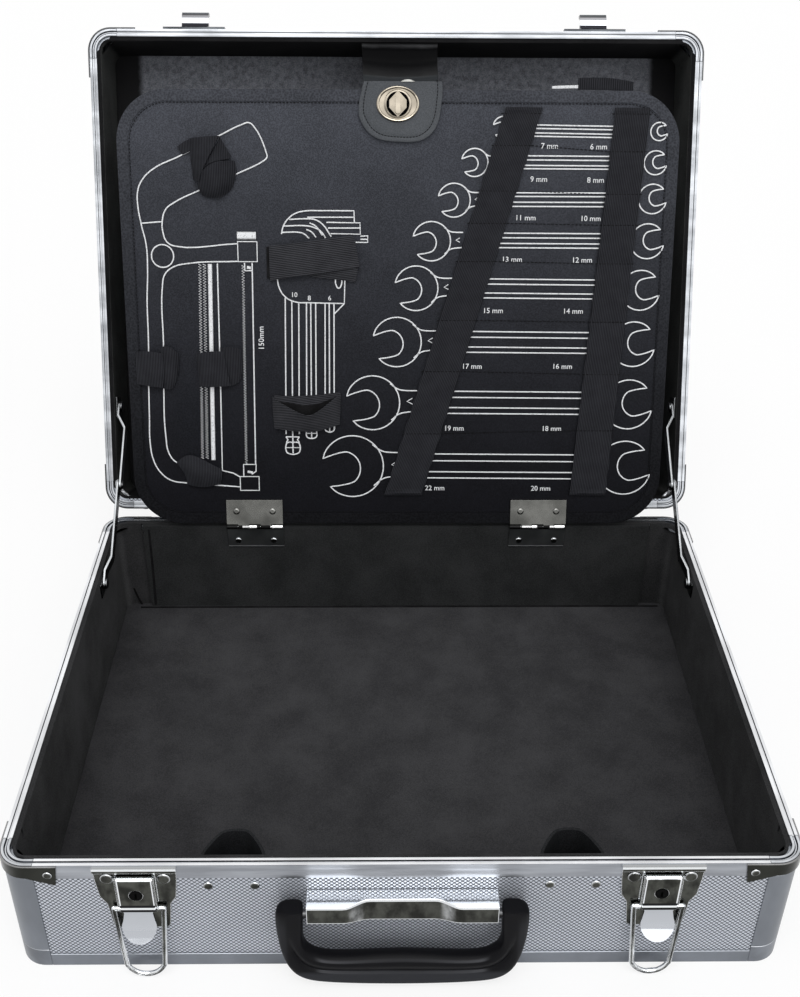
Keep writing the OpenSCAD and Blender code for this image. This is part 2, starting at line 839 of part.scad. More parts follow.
module handle() {
    lean = 3;
    color(black_plastic) difference() {
        translate([0, front_y - handle_proud, handle_z]) rotate([-lean, 0, 0])
            translate([0, 0, -handle_z]) along_y(-handle_t / 2, handle_t / 2) handle_outline();
        translate([-arm_gap - 9, front_y - handle_proud, handle_z]) rotate([0, 90, 0])
            cylinder(h = 2 * arm_gap + 18, r = handle_pin_r + pin_play);
    }
}

// Latch plates, levers, bails and lock cylinders

bar_low = base_h - 4.2;
ear_gap = lever_w / 2 + play;
module latch_plate() {
    low = latch_foot_z;
    half = latch_plate_w / 2;
    foot = latch_foot_w / 2;
    outline = [
        [-half, base_h - 0.4], [half, base_h - 0.4], [half - 0.6, base_h - 12],
        [half - 2, base_h - 25], [half - 5.5, base_h - 31], [foot, low + 2], [foot - 2, low],
        [2 - foot, low], [-foot, low + 2], [5.5 - half, base_h - 31], [2 - half, base_h - 25],
        [0.6 - half, base_h - 12]
    ];
    along_y(front_y - plate_t, front_y) polygon(outline);
    intersection() {
        along_y(front_y, front_y + skin_t) polygon(outline);
        translate([-half, front_y, low]) cube([2 * half, skin_t, base_h - rim_band - low]);
    }
    translate([-half, front_y - 2.6, bar_low]) cube([2 * half, 1.4, base_h - 0.4 - bar_low]);
    both_sides() difference() {
        translate([ear_gap, front_y - lever_front + 0.4, lever_z - 21]) cube([cheek_t, lever_front - 0.4, 23.4]);
        translate([0, front_y - lever_proud, lever_z]) rotate([0, 90, 0]) cylinder(h = 40, r = pin_r);
    }
}

module latch_plates() {
    color(chrome) difference() {
        at_latches() latch_plate();
        base_bores();
    }
}

module pivot_pins() {
    color(chrome) {
        both_sides() translate([bracket_w / 2 - 8, front_y - handle_proud, handle_z]) rotate([0, 90, 0])
            cylinder(h = 8 + handle_arm_w / 2, r = handle_pin_r);
        at_latches() translate([-ear_gap - cheek_t, front_y - lever_proud, lever_z]) rotate([0, 90, 0])
            cylinder(h = 2 * (ear_gap + cheek_t), r = pin_r);
    }
}

tongue_low = bail_z - 22;
tongue_proud = lever_front + 8;
tongue_steps = 6;

// The lever's side view, as [distance off the front face, z]: flat, then sweeping out
function tongue_point(i, off) = let (k = i / tongue_steps) [
    -(lever_front - lever_bar_t + (tongue_proud - lever_front) * k * k + off),
    bail_z + 1 - (bail_z + 1 - tongue_low) * k
];

module lever_side() {
    polygon([
        for (i = [0 : tongue_steps]) tongue_point(i, 0),
        for (i = [tongue_steps : -1 : 0]) tongue_point(i, lever_bar_t)
    ]);
    translate([-lever_front, bail_z]) square([lever_bar_t, lever_z - bail_z]);
    translate([-lever_proud, lever_z]) circle(lever_front - lever_proud);
}

module lever_front_view() {
    half = lever_w / 2;
    translate([-half, bail_z + 2]) square([lever_w, lever_z]);
    polygon([
        [-half, bail_z + 3], [half, bail_z + 3], [half - 1.8, bail_z - 2],
        [half, tongue_low + 9], [-half, tongue_low + 9], [1.8 - half, bail_z - 2]
    ]);
    translate([0, tongue_low + half]) circle(half);
}

lock_r = 3.9;
lock_z = lever_z - 10.5;
cheek_back = 1.9;
cam_back = 2.1;
module lever() {
    color(chrome) difference() {
        union() {
            intersection() {
                along_x(-lever_w / 2, lever_w / 2) translate([front_y, 0]) lever_side();
                along_y(front_y - 30, front_y) lever_front_view();
            }
            both_sides() translate([lever_w / 2 - cheek_t, 0, 0]) along_x(0, cheek_t) translate([front_y, 0]) {
                translate([-lever_front, bail_z - 1])
                    square([lever_front - cheek_back, lever_z - bail_z - 2]);
                translate([-bail_proud, bail_z]) circle(bail_proud - plate_t - 0.2);
            }
        }
        translate([-lever_w, front_y - lever_proud, lever_z]) rotate([0, 90, 0])
            cylinder(h = 2 * lever_w, r = pin_r + pin_play);
        translate([-lever_w, front_y - bail_proud, bail_z]) rotate([0, 90, 0])
            cylinder(h = 2 * lever_w, r = stub_r + pin_play);
        translate([0, front_y, lock_z]) rotate([90, 0, 0]) cylinder(h = 20, r = lock_r + pin_play);
    }
}

module lever_left() {
    translate([latch_centres[0], 0, 0]) lever();
}

module lever_right() {
    translate([latch_centres[1], 0, 0]) lever();
}

// A cylinder between two points of the plane, as [x, z], on the bail's plane
module wire(a, b, r) {
    d = b - a;
    translate([a[0], 0, a[1]]) rotate([0, 90 - atan2(d[1], d[0]), 0]) cylinder(h = norm(d), r = r);
}

module bail() {
    r = bail_wire / 2;
    top = [bail_w / 2 - r, bail_z];
    low_z = bail_z - bail_len + r;
    half = bail_end_w / 2 - r;
    sag = 8;
    arc_r = (half * half + sag * sag) / (2 * sag);
    sweep = 2 * asin(half / arc_r);
    low = [half, low_z + sag];
    color(chrome) translate([0, front_y - bail_proud, 0]) {
        both_sides() {
            wire([lever_w / 2 - cheek_t - 1.2, bail_z], top, r);
            wire(low, top, r);
            translate([top[0], 0, top[1]]) sphere(r + 0.1);
            translate([low[0], 0, low[1]]) sphere(r + 0.1);
        }
        translate([0, 0, low_z + arc_r]) rotate([90, 0, 0]) rotate([0, 0, 270 - sweep / 2])
            rotate_extrude(angle = sweep) translate([arc_r, 0]) circle(r);
    }
}

module bail_left() {
    translate([latch_centres[0], 0, 0]) bail();
}

module bail_right() {
    translate([latch_centres[1], 0, 0]) bail();
}

// Key cylinder with its slot in front and a flat cam behind the lever
module lock_cylinder() {
    color(dark_chrome) difference() {
        on_front(0, lock_z, cam_back + 1) {
            cylinder(h = lever_front - cam_back - 0.6, r = lock_r);
            translate([-2.2, -7.4, -1]) cube([4.4, 9.4, 1]);
        }
        translate([-0.6, front_y - lever_front - 1, lock_z - 2.6]) cube([1.2, 2.6, 4.4]);
    }
}

module lock_left() {
    translate([latch_centres[0], 0, 0]) lock_cylinder();
}

module lock_right() {
    translate([latch_centres[1], 0, 0]) lock_cylinder();
}

// Lid shell

module lid_top_panel() {
    color(faced) lid_shell() shell_floor();
}

module lid_end_panels() {
    color(faced) lid_frame() difference() {
        translate([0, 0, case_h]) mirror([0, 0, 1]) front_runs(run_w) shell_panel_outline(lid_h);
        lid_bores();
    }
}

module lid_side_panels() {
    color(faced) lid_frame() difference() {
        translate([0, 0, case_h]) mirror([0, 0, 1]) side_runs(run_d) shell_panel_outline(lid_h);
        lid_bores();
    }
}

module lid_corner_posts() {
    color(aluminium) lid_shell() shell_posts(lid_h);
}

module lid_top_edges() {
    color(aluminium) lid_shell() {
        front_runs(case_w - 2 * cap_leg) edge_outline(edge_band);
        side_runs(case_d - 2 * cap_leg) edge_outline(edge_band);
    }
}

module lid_corner_caps() {
    color(aluminium) lid_shell() corner_runs(cap_leg) edge_outline(cap_h);
}

module lid_rim() {
    color(aluminium) lid_frame() difference() {
        translate([0, 0, case_h]) mirror([0, 0, 1]) {
            front_runs(case_w - 2 * rim_corner_leg) rim_outline(lid_h);
            side_runs(case_d - 2 * rim_corner_leg) rim_outline(lid_h);
        }
        lid_bores();
    }
}

module lid_rim_corners() {
    color(aluminium) lid_shell() corner_runs(rim_corner_leg) rim_outline(lid_h);
}

module lid_corner_plates() {
    color(dark_chrome) lid_shell() difference() {
        shell_corner_plates(lid_h);
        corner_rivet_bores(lid_h);
    }
}

module lid_wall_lining() {
    color(black_cloth) lid_shell() wall_lining(lid_h - rim_web - rim_lip);
}

module lid_top_lining() {
    color(black_cloth) lid_shell() translate([0, 0, panel_in]) linear_extrude(lining_t) case_plan(lining_in);
}

module lid_fasteners() {
    color(chrome) lid_frame() {
        translate([0, 0, case_h]) mirror([0, 0, 1]) corner_rivets(lid_h);
        at_catch_rivets() rivet(3, 1.2, latch_grip, 1.3);
        at_rear_rivets(lid_hinge_rivet_z) rivet(3.2, 1.2, latch_grip, 1.5);
    }
}

// The catch that a bail hooks over: a plate with an upturned lip
catch_plate_w = 46;
catch_lip_h = 4.6;
module catch_hook() {
    z0 = base_h + rim_gap;
    shelf = z0 + catch_z - catch_lip_h - 1.4;
    along_y(front_y - plate_t, front_y) translate([-catch_plate_w / 2, z0 + 0.4])
        square([catch_plate_w, rim_band - 1]);
    along_x(-catch_w / 2, catch_w / 2) translate([front_y, 0]) polygon([
        [0.4 - plate_t, z0 + 0.4], [-plate_t, z0 + 0.4], [-plate_t - 1.4, shelf - 3],
        [1.6 - catch_proud, shelf - 1], [-catch_proud, shelf + 1], [-catch_proud, z0 + catch_z],
        [1.4 - catch_proud, z0 + catch_z], [1.4 - catch_proud, shelf + 1.4],
        [-plate_t - 0.8, shelf + 1.4], [-plate_t, shelf + 2.4], [0.4 - plate_t, shelf + 2.4]
    ]);
}

module catch_hooks() {
    color(chrome) lid_frame() difference() {
        at_latches() catch_hook();
        lid_bores();
    }
}

module stay_lid_brackets() {
    color(chrome) lid_frame() stay_bracket(
        stay_lid_shut[0], stay_lid_shut[1],
        base_h + rim_gap + rim_web + rim_lip + play, stay_lid_shut[1] + 8);
}

// Stay arms: flat bars, cranked inward between the pivots, drawn along +y from a pivot

crank_start = 10;
crank_end = 21;
module stay_arm(length, x_end, x_mid, bore) {
    r = stay_w / 2;
    difference() {
        intersection() {
            linear_extrude(stay_w, center = true) polygon([
                [x_end, -r], [x_end, crank_start], [x_mid, crank_end], [x_mid, length + r],
                [x_mid - stay_t, length + r], [x_mid - stay_t, crank_end - 1],
                [x_end - stay_t, crank_start - 1], [x_end - stay_t, -r]
            ]);
            rotate([90, 0, 90]) linear_extrude(2 * case_w, center = true) {
                translate([0, -r]) square([length, stay_w]);
                circle(r);
                translate([length, 0]) circle(r);
            }
        }
        translate([x_end - 5, 0, 0]) rotate([0, 90, 0]) cylinder(h = 10, r = bore);
        translate([x_mid - 5, length, 0]) rotate([0, 90, 0]) cylinder(h = 10, r = 1.8);
    }
}

stay_bore = 2.5;
module stay_lower() {
    color(chrome) translate([0, stay_base[0], stay_base[1]]) rotate([stay_angle, 0, 0]) {
        stay_arm(stay_lower_len, arm_out_x, lower_mid_x, stay_bore);
        translate([lower_mid_x - stay_t, stay_lower_len, 0]) rotate([0, 90, 0]) cylinder(h = stay_t, r = 1.8);
        translate([lower_mid_x, stay_lower_len, 0]) rotate([0, 90, 0]) cylinder(h = 1.2, r1 = 4, r2 = 3);
    }
}

module stay_upper() {
    color(chrome) translate([0, stay_lid[0], stay_lid[1]]) rotate([180 + stay_angle, 0, 0]) {
        stay_arm(stay_upper_len, arm_out_x, upper_mid_x, stay_bore);
        translate([upper_mid_x - stay_t, stay_upper_len, 0]) rotate([0, 90, 0]) cylinder(h = stay_t, r = 1.8);
        translate([upper_mid_x - stay_t, stay_upper_len, 0]) rotate([0, -90, 0]) cylinder(h = 1.4, r1 = 4, r2 = 2.6);
    }
}

module stay_lower_right() {
    stay_lower();
}

module stay_lower_left() {
    mirror([1, 0, 0]) stay_lower();
}

module stay_upper_right() {
    stay_upper();
}

module stay_upper_left() {
    mirror([1, 0, 0]) stay_upper();
}

// Tool board

module board_plan(inset) {
    translate([0, board_foot + board_l / 2])
        round_rect(board_w - 2 * inset, board_l - 2 * inset, board_r - inset);
}

core_inset = 2;
module board_panel() {
    color(black_cloth) board_frame() difference() {
        translate([0, 0, core_front - board_core_t]) linear_extrude(board_core_t) board_plan(core_inset);
        at_upper_screws() translate([0, 0, -10]) cylinder(h = 11, r = 1.2);
    }
}

module board_binding() {
    color(black_cloth) board_frame() difference() {
        translate([0, 0, board_front - board_t]) linear_extrude(board_t) board_plan(0);
        translate([0, 0, board_front - board_t - 1]) linear_extrude(board_t + 2) board_plan(binding_w);
        translate([0, 0, core_front - board_core_t]) linear_extrude(board_core_t) board_plan(core_inset);
        at_upper_screws() translate([0, 0, -10]) cylinder(h = 11, r = 1.2);
    }
}

module board_fasteners() {
    color(chrome) board_frame() at_upper_screws() rivet(2.6, 1.1, leaf_t + board_t - 0.4, 1.2);
}

// A slanted band from one middle point to another, as [across, up], with level ends
module slanted_band(low, high, low_w, high_w, thickness) {
    translate([0, 0, core_front]) linear_extrude(thickness) polygon([
        [low[0] - low_w / 2, low[1]], [low[0] + low_w / 2, low[1]],
        [high[0] + high_w / 2, high[1]], [high[0] - high_w / 2, high[1]]
    ]);
}

band_low_u = 29;
band_high_u = 313;
module spanner_bands() {
    color(black_cloth) board_frame() {
        slanted_band([5, band_low_u], [91.5, band_high_u], 29, 27, band_t);
        slanted_band([149.5, band_low_u], [170.5, band_high_u], 28.2, 25.4, band_t);
    }
}

// Centre, size and lean of each small elastic loop: [across, up, width, height, angle]
loop_list = [
    [-138, 272, 26, 34, 20], [-184, 124, 28, 26, 0], [-138, 124, 30, 26, 0],
    [-152, 47, 34, 24, 0], [-62, 207, 66, 29, 0], [-69, 92, 51, 27, 0]
];
module board_loops() {
    color(black_cloth) board_frame() for (l = loop_list)
        translate([l[0], l[1], core_front]) rotate([0, 0, l[4]]) linear_extrude(4) round_rect(l[2], l[3], 3);
}

// Strap tab with its turn lock, riding on the board's upper edge

tab_len = 41;
tab_top = board_head - 1;
lock_u = board_head - 17;
module strap_tab() {
    r = strap_w / 2;
    color(black_plastic) board_frame() translate([0, 0, board_front]) difference() {
        linear_extrude(strap_t) {
            translate([-r, tab_top - 18]) square([strap_w, 18]);
            intersection() {
                translate([0, tab_top - tab_len + r]) circle(r);
                translate([-r, tab_top - tab_len]) square([strap_w, r + 1]);
            }
            translate([-r, tab_top - tab_len + r]) square([strap_w, tab_len - r]);
        }
        translate([0, lock_u, -1]) cylinder(h = strap_t + 2, r = 6);
    }
}

lock_rx = 15.5;
lock_ry = 12.3;
lock_plate_t = 1.6;
shaft_r = 4;
module turn_lock_plate() {
    corner = 11.8;
    color(chrome) board_frame() translate([0, lock_u, core_front]) difference() {
        union() {
            cylinder(h = board_front - core_front + strap_t, r = 5.7);
            translate([0, 0, board_front - core_front + strap_t]) linear_extrude(lock_plate_t)
                round_rect(2 * lock_rx, 2 * lock_ry, corner);
        }
        translate([0, 0, 0.6]) cylinder(h = 20, r = shaft_r + pin_play);
    }
}

module turn_knob() {
    top = board_front + strap_t + lock_plate_t;
    color(chrome) board_frame() translate([0, lock_u, 0]) {
        translate([0, 0, core_front + 1]) cylinder(h = top - core_front - 1 + 0.4, r = shaft_r);
        translate([0, 0, top + 0.3]) linear_extrude(2) polygon([
            [0, 9], [6.2, 2.6], [6.2, -2.6], [0, -9], [-6.2, -2.6], [-6.2, 2.6]
        ]);
        translate([0, 0, top + 2.2]) linear_extrude(4) round_rect(3.6, 14, 1.6);
    }
}

// The strap from the lid's front wall: a patch sewn to the lining, then a web to the board
patch_low = base_h + rim_gap + rim_web + rim_lip + 1;
patch_h = 22;
module strap_upper() {
    inner_y = front_y + lining_in;
    wall = turned([inner_y, patch_low], -lid_open);
    face = turned([inner_y + strap_t, patch_low], -lid_open);
    end_u = board_head + 1.2;
    end = [board_y + sin(board_lean) * end_u, board_z + cos(board_lean) * end_u];
    d = end - face;
    up = [d[1], -d[0]] / norm(d) * strap_t;
    color(black_plastic) along_x(-strap_w / 2, strap_w / 2) polygon([
        turned([inner_y + strap_t, patch_low + patch_h], -lid_open),
        turned([inner_y, patch_low + patch_h], -lid_open),
        wall, end + up, end, face
    ]);
}

base_front_panel();
base_back_panel();
base_side_panels();
base_floor_panel();
base_corner_posts();
base_bottom_edges();
base_corner_caps();
base_rim();
base_rim_corners();
base_corner_plates();
base_wall_lining();
base_floor_lining();
hinge_backing();
tool_loops();
base_fasteners();
handle_bracket();
latch_plates();
pivot_pins();
rear_hinge_base_leaves();
hinge_pins();
base_rear_feet();
board_hinge_lower_leaves();
stay_base_brackets();
lid_top_panel();
lid_end_panels();
lid_side_panels();
lid_corner_posts();
lid_top_edges();
lid_corner_caps();
lid_rim();
lid_rim_corners();
lid_corner_plates();
lid_wall_lining();
lid_top_lining();
lid_fasteners();
catch_hooks();
rear_hinge_lid_leaves();
lid_rear_feet();
stay_lid_brackets();
strap_upper();
board_panel();
board_binding();
spanner_bands();
board_loops();
board_hinge_upper_leaves();
board_fasteners();
strap_tab();
turn_lock_plate();
turn_knob();
handle();
lever_left();
lever_right();
bail_left();
bail_right();
lock_left();
lock_right();
stay_lower_left();
stay_lower_right();
stay_upper_left();
stay_upper_right();
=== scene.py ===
import math
import bpy
from mathutils import Matrix, Vector


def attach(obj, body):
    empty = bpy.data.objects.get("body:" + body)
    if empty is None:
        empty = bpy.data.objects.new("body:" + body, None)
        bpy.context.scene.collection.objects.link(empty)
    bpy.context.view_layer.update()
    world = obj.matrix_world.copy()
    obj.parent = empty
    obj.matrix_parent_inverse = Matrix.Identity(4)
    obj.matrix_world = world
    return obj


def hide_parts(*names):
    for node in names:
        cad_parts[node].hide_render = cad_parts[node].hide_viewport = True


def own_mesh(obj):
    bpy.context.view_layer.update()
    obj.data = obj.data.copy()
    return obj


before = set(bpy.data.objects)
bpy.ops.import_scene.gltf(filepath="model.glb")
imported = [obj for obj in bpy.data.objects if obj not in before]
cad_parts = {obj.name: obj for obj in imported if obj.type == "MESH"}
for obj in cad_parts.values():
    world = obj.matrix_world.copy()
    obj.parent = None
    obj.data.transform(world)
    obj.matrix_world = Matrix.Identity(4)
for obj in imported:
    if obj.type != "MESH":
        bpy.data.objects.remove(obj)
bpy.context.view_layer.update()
mm = 0.001
world = Matrix.Identity(4)  # the place of pieces that are drawn where they stand
frontWall = -180.0  # the case's front face, in millimetres

# Where the big moving parts stand, in metres and degrees
pose = {
    "hinge": Vector((0, 184 * mm, 90 * mm)), "lidOpen": 114.4,
    "boardFoot": Vector((0, 165.6 * mm, 88 * mm)), "boardLean": 19.5,
}
lidPlace = (Matrix.Translation(pose["hinge"]) @ Matrix.Rotation(math.radians(-pose["lidOpen"]), 4, "X")
            @ Matrix.Translation(-pose["hinge"]))
boardPlace = (Matrix.Translation(pose["boardFoot"])
              @ Matrix.Rotation(math.radians(90 - pose["boardLean"]), 4, "X"))


# Shader sums

class Wire:  # an output socket, so that sums on it read like sums
    def __init__(self, finish, socket):
        self.finish, self.socket = finish, socket

    def sum(self, operation, *values):
        return self.finish.node("ShaderNodeMath", {"operation": operation}, dict(enumerate(values)))

    def __add__(self, other):
        return self.sum("ADD", self, other)

    def __radd__(self, other):
        return self.sum("ADD", other, self)

    def __sub__(self, other):
        return self.sum("SUBTRACT", self, other)

    def __rsub__(self, other):
        return self.sum("SUBTRACT", other, self)

    def __mul__(self, other):
        return self.sum("MULTIPLY", self, other)

    def __truediv__(self, other):
        return self.sum("DIVIDE", self, other)

    def __pow__(self, other):
        return self.sum("POWER", self, other)

    def __abs__(self):
        return self.sum("ABSOLUTE", self)

    def sin(self):
        return self.sum("SINE", self)

    def over(self, edge):
        return self.sum("GREATER_THAN", self, edge)

    def under(self, edge):
        return self.sum("LESS_THAN", self, edge)

    def top(self, other):
        return self.sum("MAXIMUM", self, other)

    def ramp(self, low, high):  # 0 below low, 1 above high, smooth between
        return self.finish.node("ShaderNodeMapRange", {"interpolation_type": "SMOOTHSTEP"},
                                {"Value": self, "From Min": low, "From Max": high})


class Finish:  # one material, with its shader ready
    def __init__(self, name, **constants):
        self.material = bpy.data.materials.new(name)
        self.material.use_nodes = True
        self.tree = self.material.node_tree
        self.tree.nodes.clear()
        self.shader = self.tree.nodes.new("ShaderNodeBsdfPrincipled")
        out = self.tree.nodes.new("ShaderNodeOutputMaterial")
        self.tree.links.new(self.shader.outputs[0], out.inputs["Surface"])
        self.material.diffuse_color = (*constants.get("color", (0.5, 0.5, 0.5)), 1)
        names = {"metallic": "Metallic", "roughness": "Roughness", "specular": "Specular IOR Level"}
        for key, value in constants.items():
            if key == "color":
                self.shader.inputs["Base Color"].default_value = (*value, 1)
            else:
                self.shader.inputs[names[key]].default_value = value

    def node(self, kind, settings=None, sockets=None, out=0):
        made = self.tree.nodes.new(kind)
        for key, value in (settings or {}).items():
            setattr(made, key, value)
        for key, value in (sockets or {}).items():
            if isinstance(value, Wire):
                self.tree.links.new(value.socket, made.inputs[key])
            else:
                socket = made.inputs[key]
                if hasattr(value, "__len__") and len(value) == 3 and len(socket.default_value) == 4:
                    value = (*value, 1)
                socket.default_value = value
        return Wire(self, made.outputs[out])

    def place(self, turn=None):  # object coordinates in millimetres, on the shut lid or flat board if turned
        spot = self.node("ShaderNodeTexCoord", out="Object")
        if turn is not None:
            back = turn.inverted()
            spot = self.node("ShaderNodeMapping", {"vector_type": "POINT"},
                             {"Vector": spot, "Location": back.to_translation(), "Rotation": back.to_euler()})
        return self.node("ShaderNodeVectorMath", {"operation": "SCALE"}, {0: spot, "Scale": 1000})

    def facing(self, turn=None):  # the surface's own direction, in the same frame as place
        normal = self.node("ShaderNodeTexCoord", out="Normal")
        if turn is not None:
            normal = self.node("ShaderNodeMapping", {"vector_type": "VECTOR"},
                               {"Vector": normal, "Rotation": turn.inverted().to_euler()})
        return normal

    def split(self, vector):
        made = self.tree.nodes.new("ShaderNodeSeparateXYZ")
        self.tree.links.new(vector.socket, made.inputs[0])
        return [Wire(self, made.outputs[i]) for i in range(3)]

    def join(self, x, y, z):
        return self.node("ShaderNodeCombineXYZ", None, {0: x, 1: y, 2: z})

    def noise(self, spot, size, detail=3, rough=0.55):  # size of the blotches in millimetres
        return self.node("ShaderNodeTexNoise", {"noise_dimensions": "3D"},
                         {"Vector": spot, "Scale": 1 / size, "Detail": detail, "Roughness": rough})

    def blend(self, amount, low, high, kind="MIX"):
        return self.node("ShaderNodeMix", {"data_type": "RGBA", "blend_type": kind},
                         {0: amount, 6: low, 7: high}, out=2)

    def tinted(self, tone, by):  # one colour multiplied by another
        return self.blend(1.0, tone, by, "MULTIPLY")

    def edgeHighlightMask(self, width):  # a mask along edges, where polished parts get a painted highlight
        bevel = self.node("ShaderNodeBevel", {"samples": 4}, {"Radius": width * mm})
        flat = self.node("ShaderNodeNewGeometry", out="Normal")
        dot = self.node("ShaderNodeVectorMath", {"operation": "DOT_PRODUCT"},
                        {0: bevel, 1: flat}, out="Value")
        return (1 - dot).ramp(0.015, 0.10)

    def set(self, name, value):
        self.tree.links.new(value.socket, self.shader.inputs[name])

    def bump(self, height, depth, strength=1.0):  # depth in millimetres
        made = self.node("ShaderNodeBump", None,
                         {"Height": height, "Distance": depth * mm, "Strength": strength})
        self.set("Normal", made)


# Finishes, one dictionary of what a user would change with each

# colour facing forward and colour facing up, between which each face is painted light or shade by the way it
# turns, then roughness, its spread, grain in mm, and what gets a painted highlight besides: a share of what
# faces sideways, or the edges of a polished part
metalLook = {
    "rim": ((0.33, 0.345, 0.375), (0.86, 0.87, 0.89), 0.30, 0.10, 0.5, 0.0),
    # the lid's entries are darker copies of the base's, painted shade for the open lid
    "lidRim": ((0.14, 0.15, 0.165), (0.50, 0.515, 0.54), 0.30, 0.10, 0.5, 0.0),
    "post": ((0.205, 0.22, 0.245), (0.34, 0.36, 0.39), 0.36, 0.12, 0.5, 0.0),
    "casting": ((0.21, 0.225, 0.25), (0.62, 0.64, 0.67), 0.34, 0.14, 0.6, 0.0),
    "lidCasting": ((0.13, 0.14, 0.155), (0.48, 0.495, 0.52), 0.34, 0.14, 0.6, 0.0),
    "chrome": ((0.042, 0.043, 0.038), (0.80, 0.82, 0.84), 0.12, 0.08, 0.9, "edges"),
    "lidChrome": ((0.014, 0.015, 0.018), (0.13, 0.14, 0.15), 0.16, 0.08, 0.9, 0.1),
    "dark": ((0.030, 0.031, 0.027), (0.30, 0.30, 0.30), 0.20, 0.10, 0.7, 0.2),
    "lidDark": ((0.016, 0.016, 0.017), (0.085, 0.087, 0.09), 0.24, 0.10, 0.7, 0.1),
    "zinc": ((0.042, 0.043, 0.038), (0.21, 0.21, 0.20), 0.26, 0.12, 0.45, 0.3),
    "stay": ((0.030, 0.031, 0.032), (0.30, 0.31, 0.32), 0.28, 0.12, 0.45, 0.10),
    "leaf": ((0.150, 0.158, 0.160), (0.170, 0.178, 0.180), 0.40, 0.12, 0.6, 0.0),
    "nickel": ((0.090, 0.078, 0.060), (0.56, 0.50, 0.41), 0.22, 0.14, 0.7, 0.3),
}
paintedReflectionLook = {  # how painted reflections lie: stretch along x, y, z, patch size in mm, darkest, brightest
    "rim": ((0.10, 0.10, 1.0), 5.0, 0.80, 1.12), "lidRim": ((0.10, 0.35, 0.35), 5.0, 0.72, 1.12),
    "post": ((0.5, 0.5, 0.25), 14.0, 0.85, 1.08), "chrome": ((1.0, 1.0, 0.6), 7.0, 0.55, 1.9),
    "plain": ((1.0, 1.0, 1.0), 22.0, 0.72, 1.12),
}
# where polished and satin parts are painted bright, by the way they face; cloud is how uneven that painted
# light is
polishPaintedLight = {"cloud": 0.12, "from": 0.04, "to": 0.34, "edge": 0.75, "edgeLight": 0.9}
satinPaintedLight = {"cloud": 0.25, "from": 0.02, "to": 0.68}
markSoft, hemSoft = 0.15, 0.2  # how softly painted bands end, in millimetres
# painted shade on the walls of the rims' groove: the rims' top levels, how deep, which tilt, and the shade
# colour
grooveShadeLook = {"baseTop": 88.0, "lidTop": 88.4, "deep": 0.97, "shallow": 0.04, "tilt": (0.08, 0.97),
              "tone": (0.055, 0.06, 0.07)}


def makeMetal(name, look, turn=None, marks=(), groove=0, hemHighlight=None):
    # marks are painted bands of light and shade (painted highlights and painted shade): axis, from, to, then
    # more such limits if any, and the colour
    # groove is 1 for the base's rim and -1 for the lid's; the groove's walls get painted shade
    forward, upward, rough, spread, grain, sides = metalLook[look]
    stretch, size, darkest, brightest = paintedReflectionLook.get(look, paintedReflectionLook["plain"])
    finish = Finish(name, color=forward, metallic=1.0)
    spot = finish.place(turn)
    axes = finish.split(spot)
    cloud = finish.noise(finish.join(*[axis * pull for axis, pull in zip(axes, stretch)]), size, 3)
    fine = finish.noise(spot, grain, 2)
    nx, ny, nz = finish.split(finish.facing())
    if sides == "edges":  # a polished part is painted dark facing ahead and bright all round, as painted reflection
        light = polishPaintedLight
        lit = (1 + ny + (cloud - 0.5) * light["cloud"]).ramp(light["from"], light["to"])
        lit = lit.top(finish.edgeHighlightMask(light["edge"]) * light["edgeLight"])
    else:
        light = satinPaintedLight
        lit = (nz + abs(nx) * sides + (cloud - 0.5) * light["cloud"]).ramp(light["from"], light["to"])
    # painted light and shade: the colour runs from the forward one to the upward one by the way the face
    # turns
    tone = finish.blend(lit, forward, upward)
    # painted reflection: patches that darken or brighten the colour, and on polished parts run to white where
    # painted light
    dull = finish.blend(cloud.ramp(0.3, 0.7), (darkest,) * 3, (brightest,) * 3)
    if sides == "edges":
        dull = finish.blend(lit, dull, (1.0, 1.0, 1.0))
    tone = finish.tinted(tone, dull)
    if hemHighlight:  # a painted highlight along the lower edge, which climbs from low to high between two distances from the middle
        start, end, low, high, width, color = hemHighlight
        level = axes[2] - (abs(axes[0]).ramp(start, end) * (high - low) + low)
        tone = finish.blend(1 - level.ramp(width - hemSoft, width + hemSoft), tone, color)
    for *limits, color in marks:
        band = None
        for axis, low, high in zip(limits[::3], limits[1::3], limits[2::3]):
            part = (axes[axis].ramp(low - markSoft, low + markSoft)
                    * (1 - axes[axis].ramp(high - markSoft, high + markSoft)))
            band = part if band is None else band * part
        tone = finish.blend(band, tone, color)
    # painted shade on the groove's walls
    if groove:
        level = (axes[2] - grooveShadeLook["baseTop" if groove > 0 else "lidTop"]) * -groove
        tilt = finish.split(finish.facing(turn))[2] * groove
        walls = (level.over(grooveShadeLook["shallow"]) * level.under(grooveShadeLook["deep"])
                 * tilt.over(grooveShadeLook["tilt"][0]) * tilt.under(grooveShadeLook["tilt"][1]))
        tone = finish.blend(walls, tone, grooveShadeLook["tone"])
    finish.set("Base Color", tone)
    finish.set("Roughness", rough + (cloud - 0.5) * spread + (fine - 0.5) * spread * 0.6)
    finish.bump(fine, 0.02, 0.35)
    return finish.material


facingLook = {"light": (0.58, 0.61, 0.67), "shade": (0.085, 0.092, 0.108),
              "across": 3.13, "up": 2.8, "depth": 0.22}


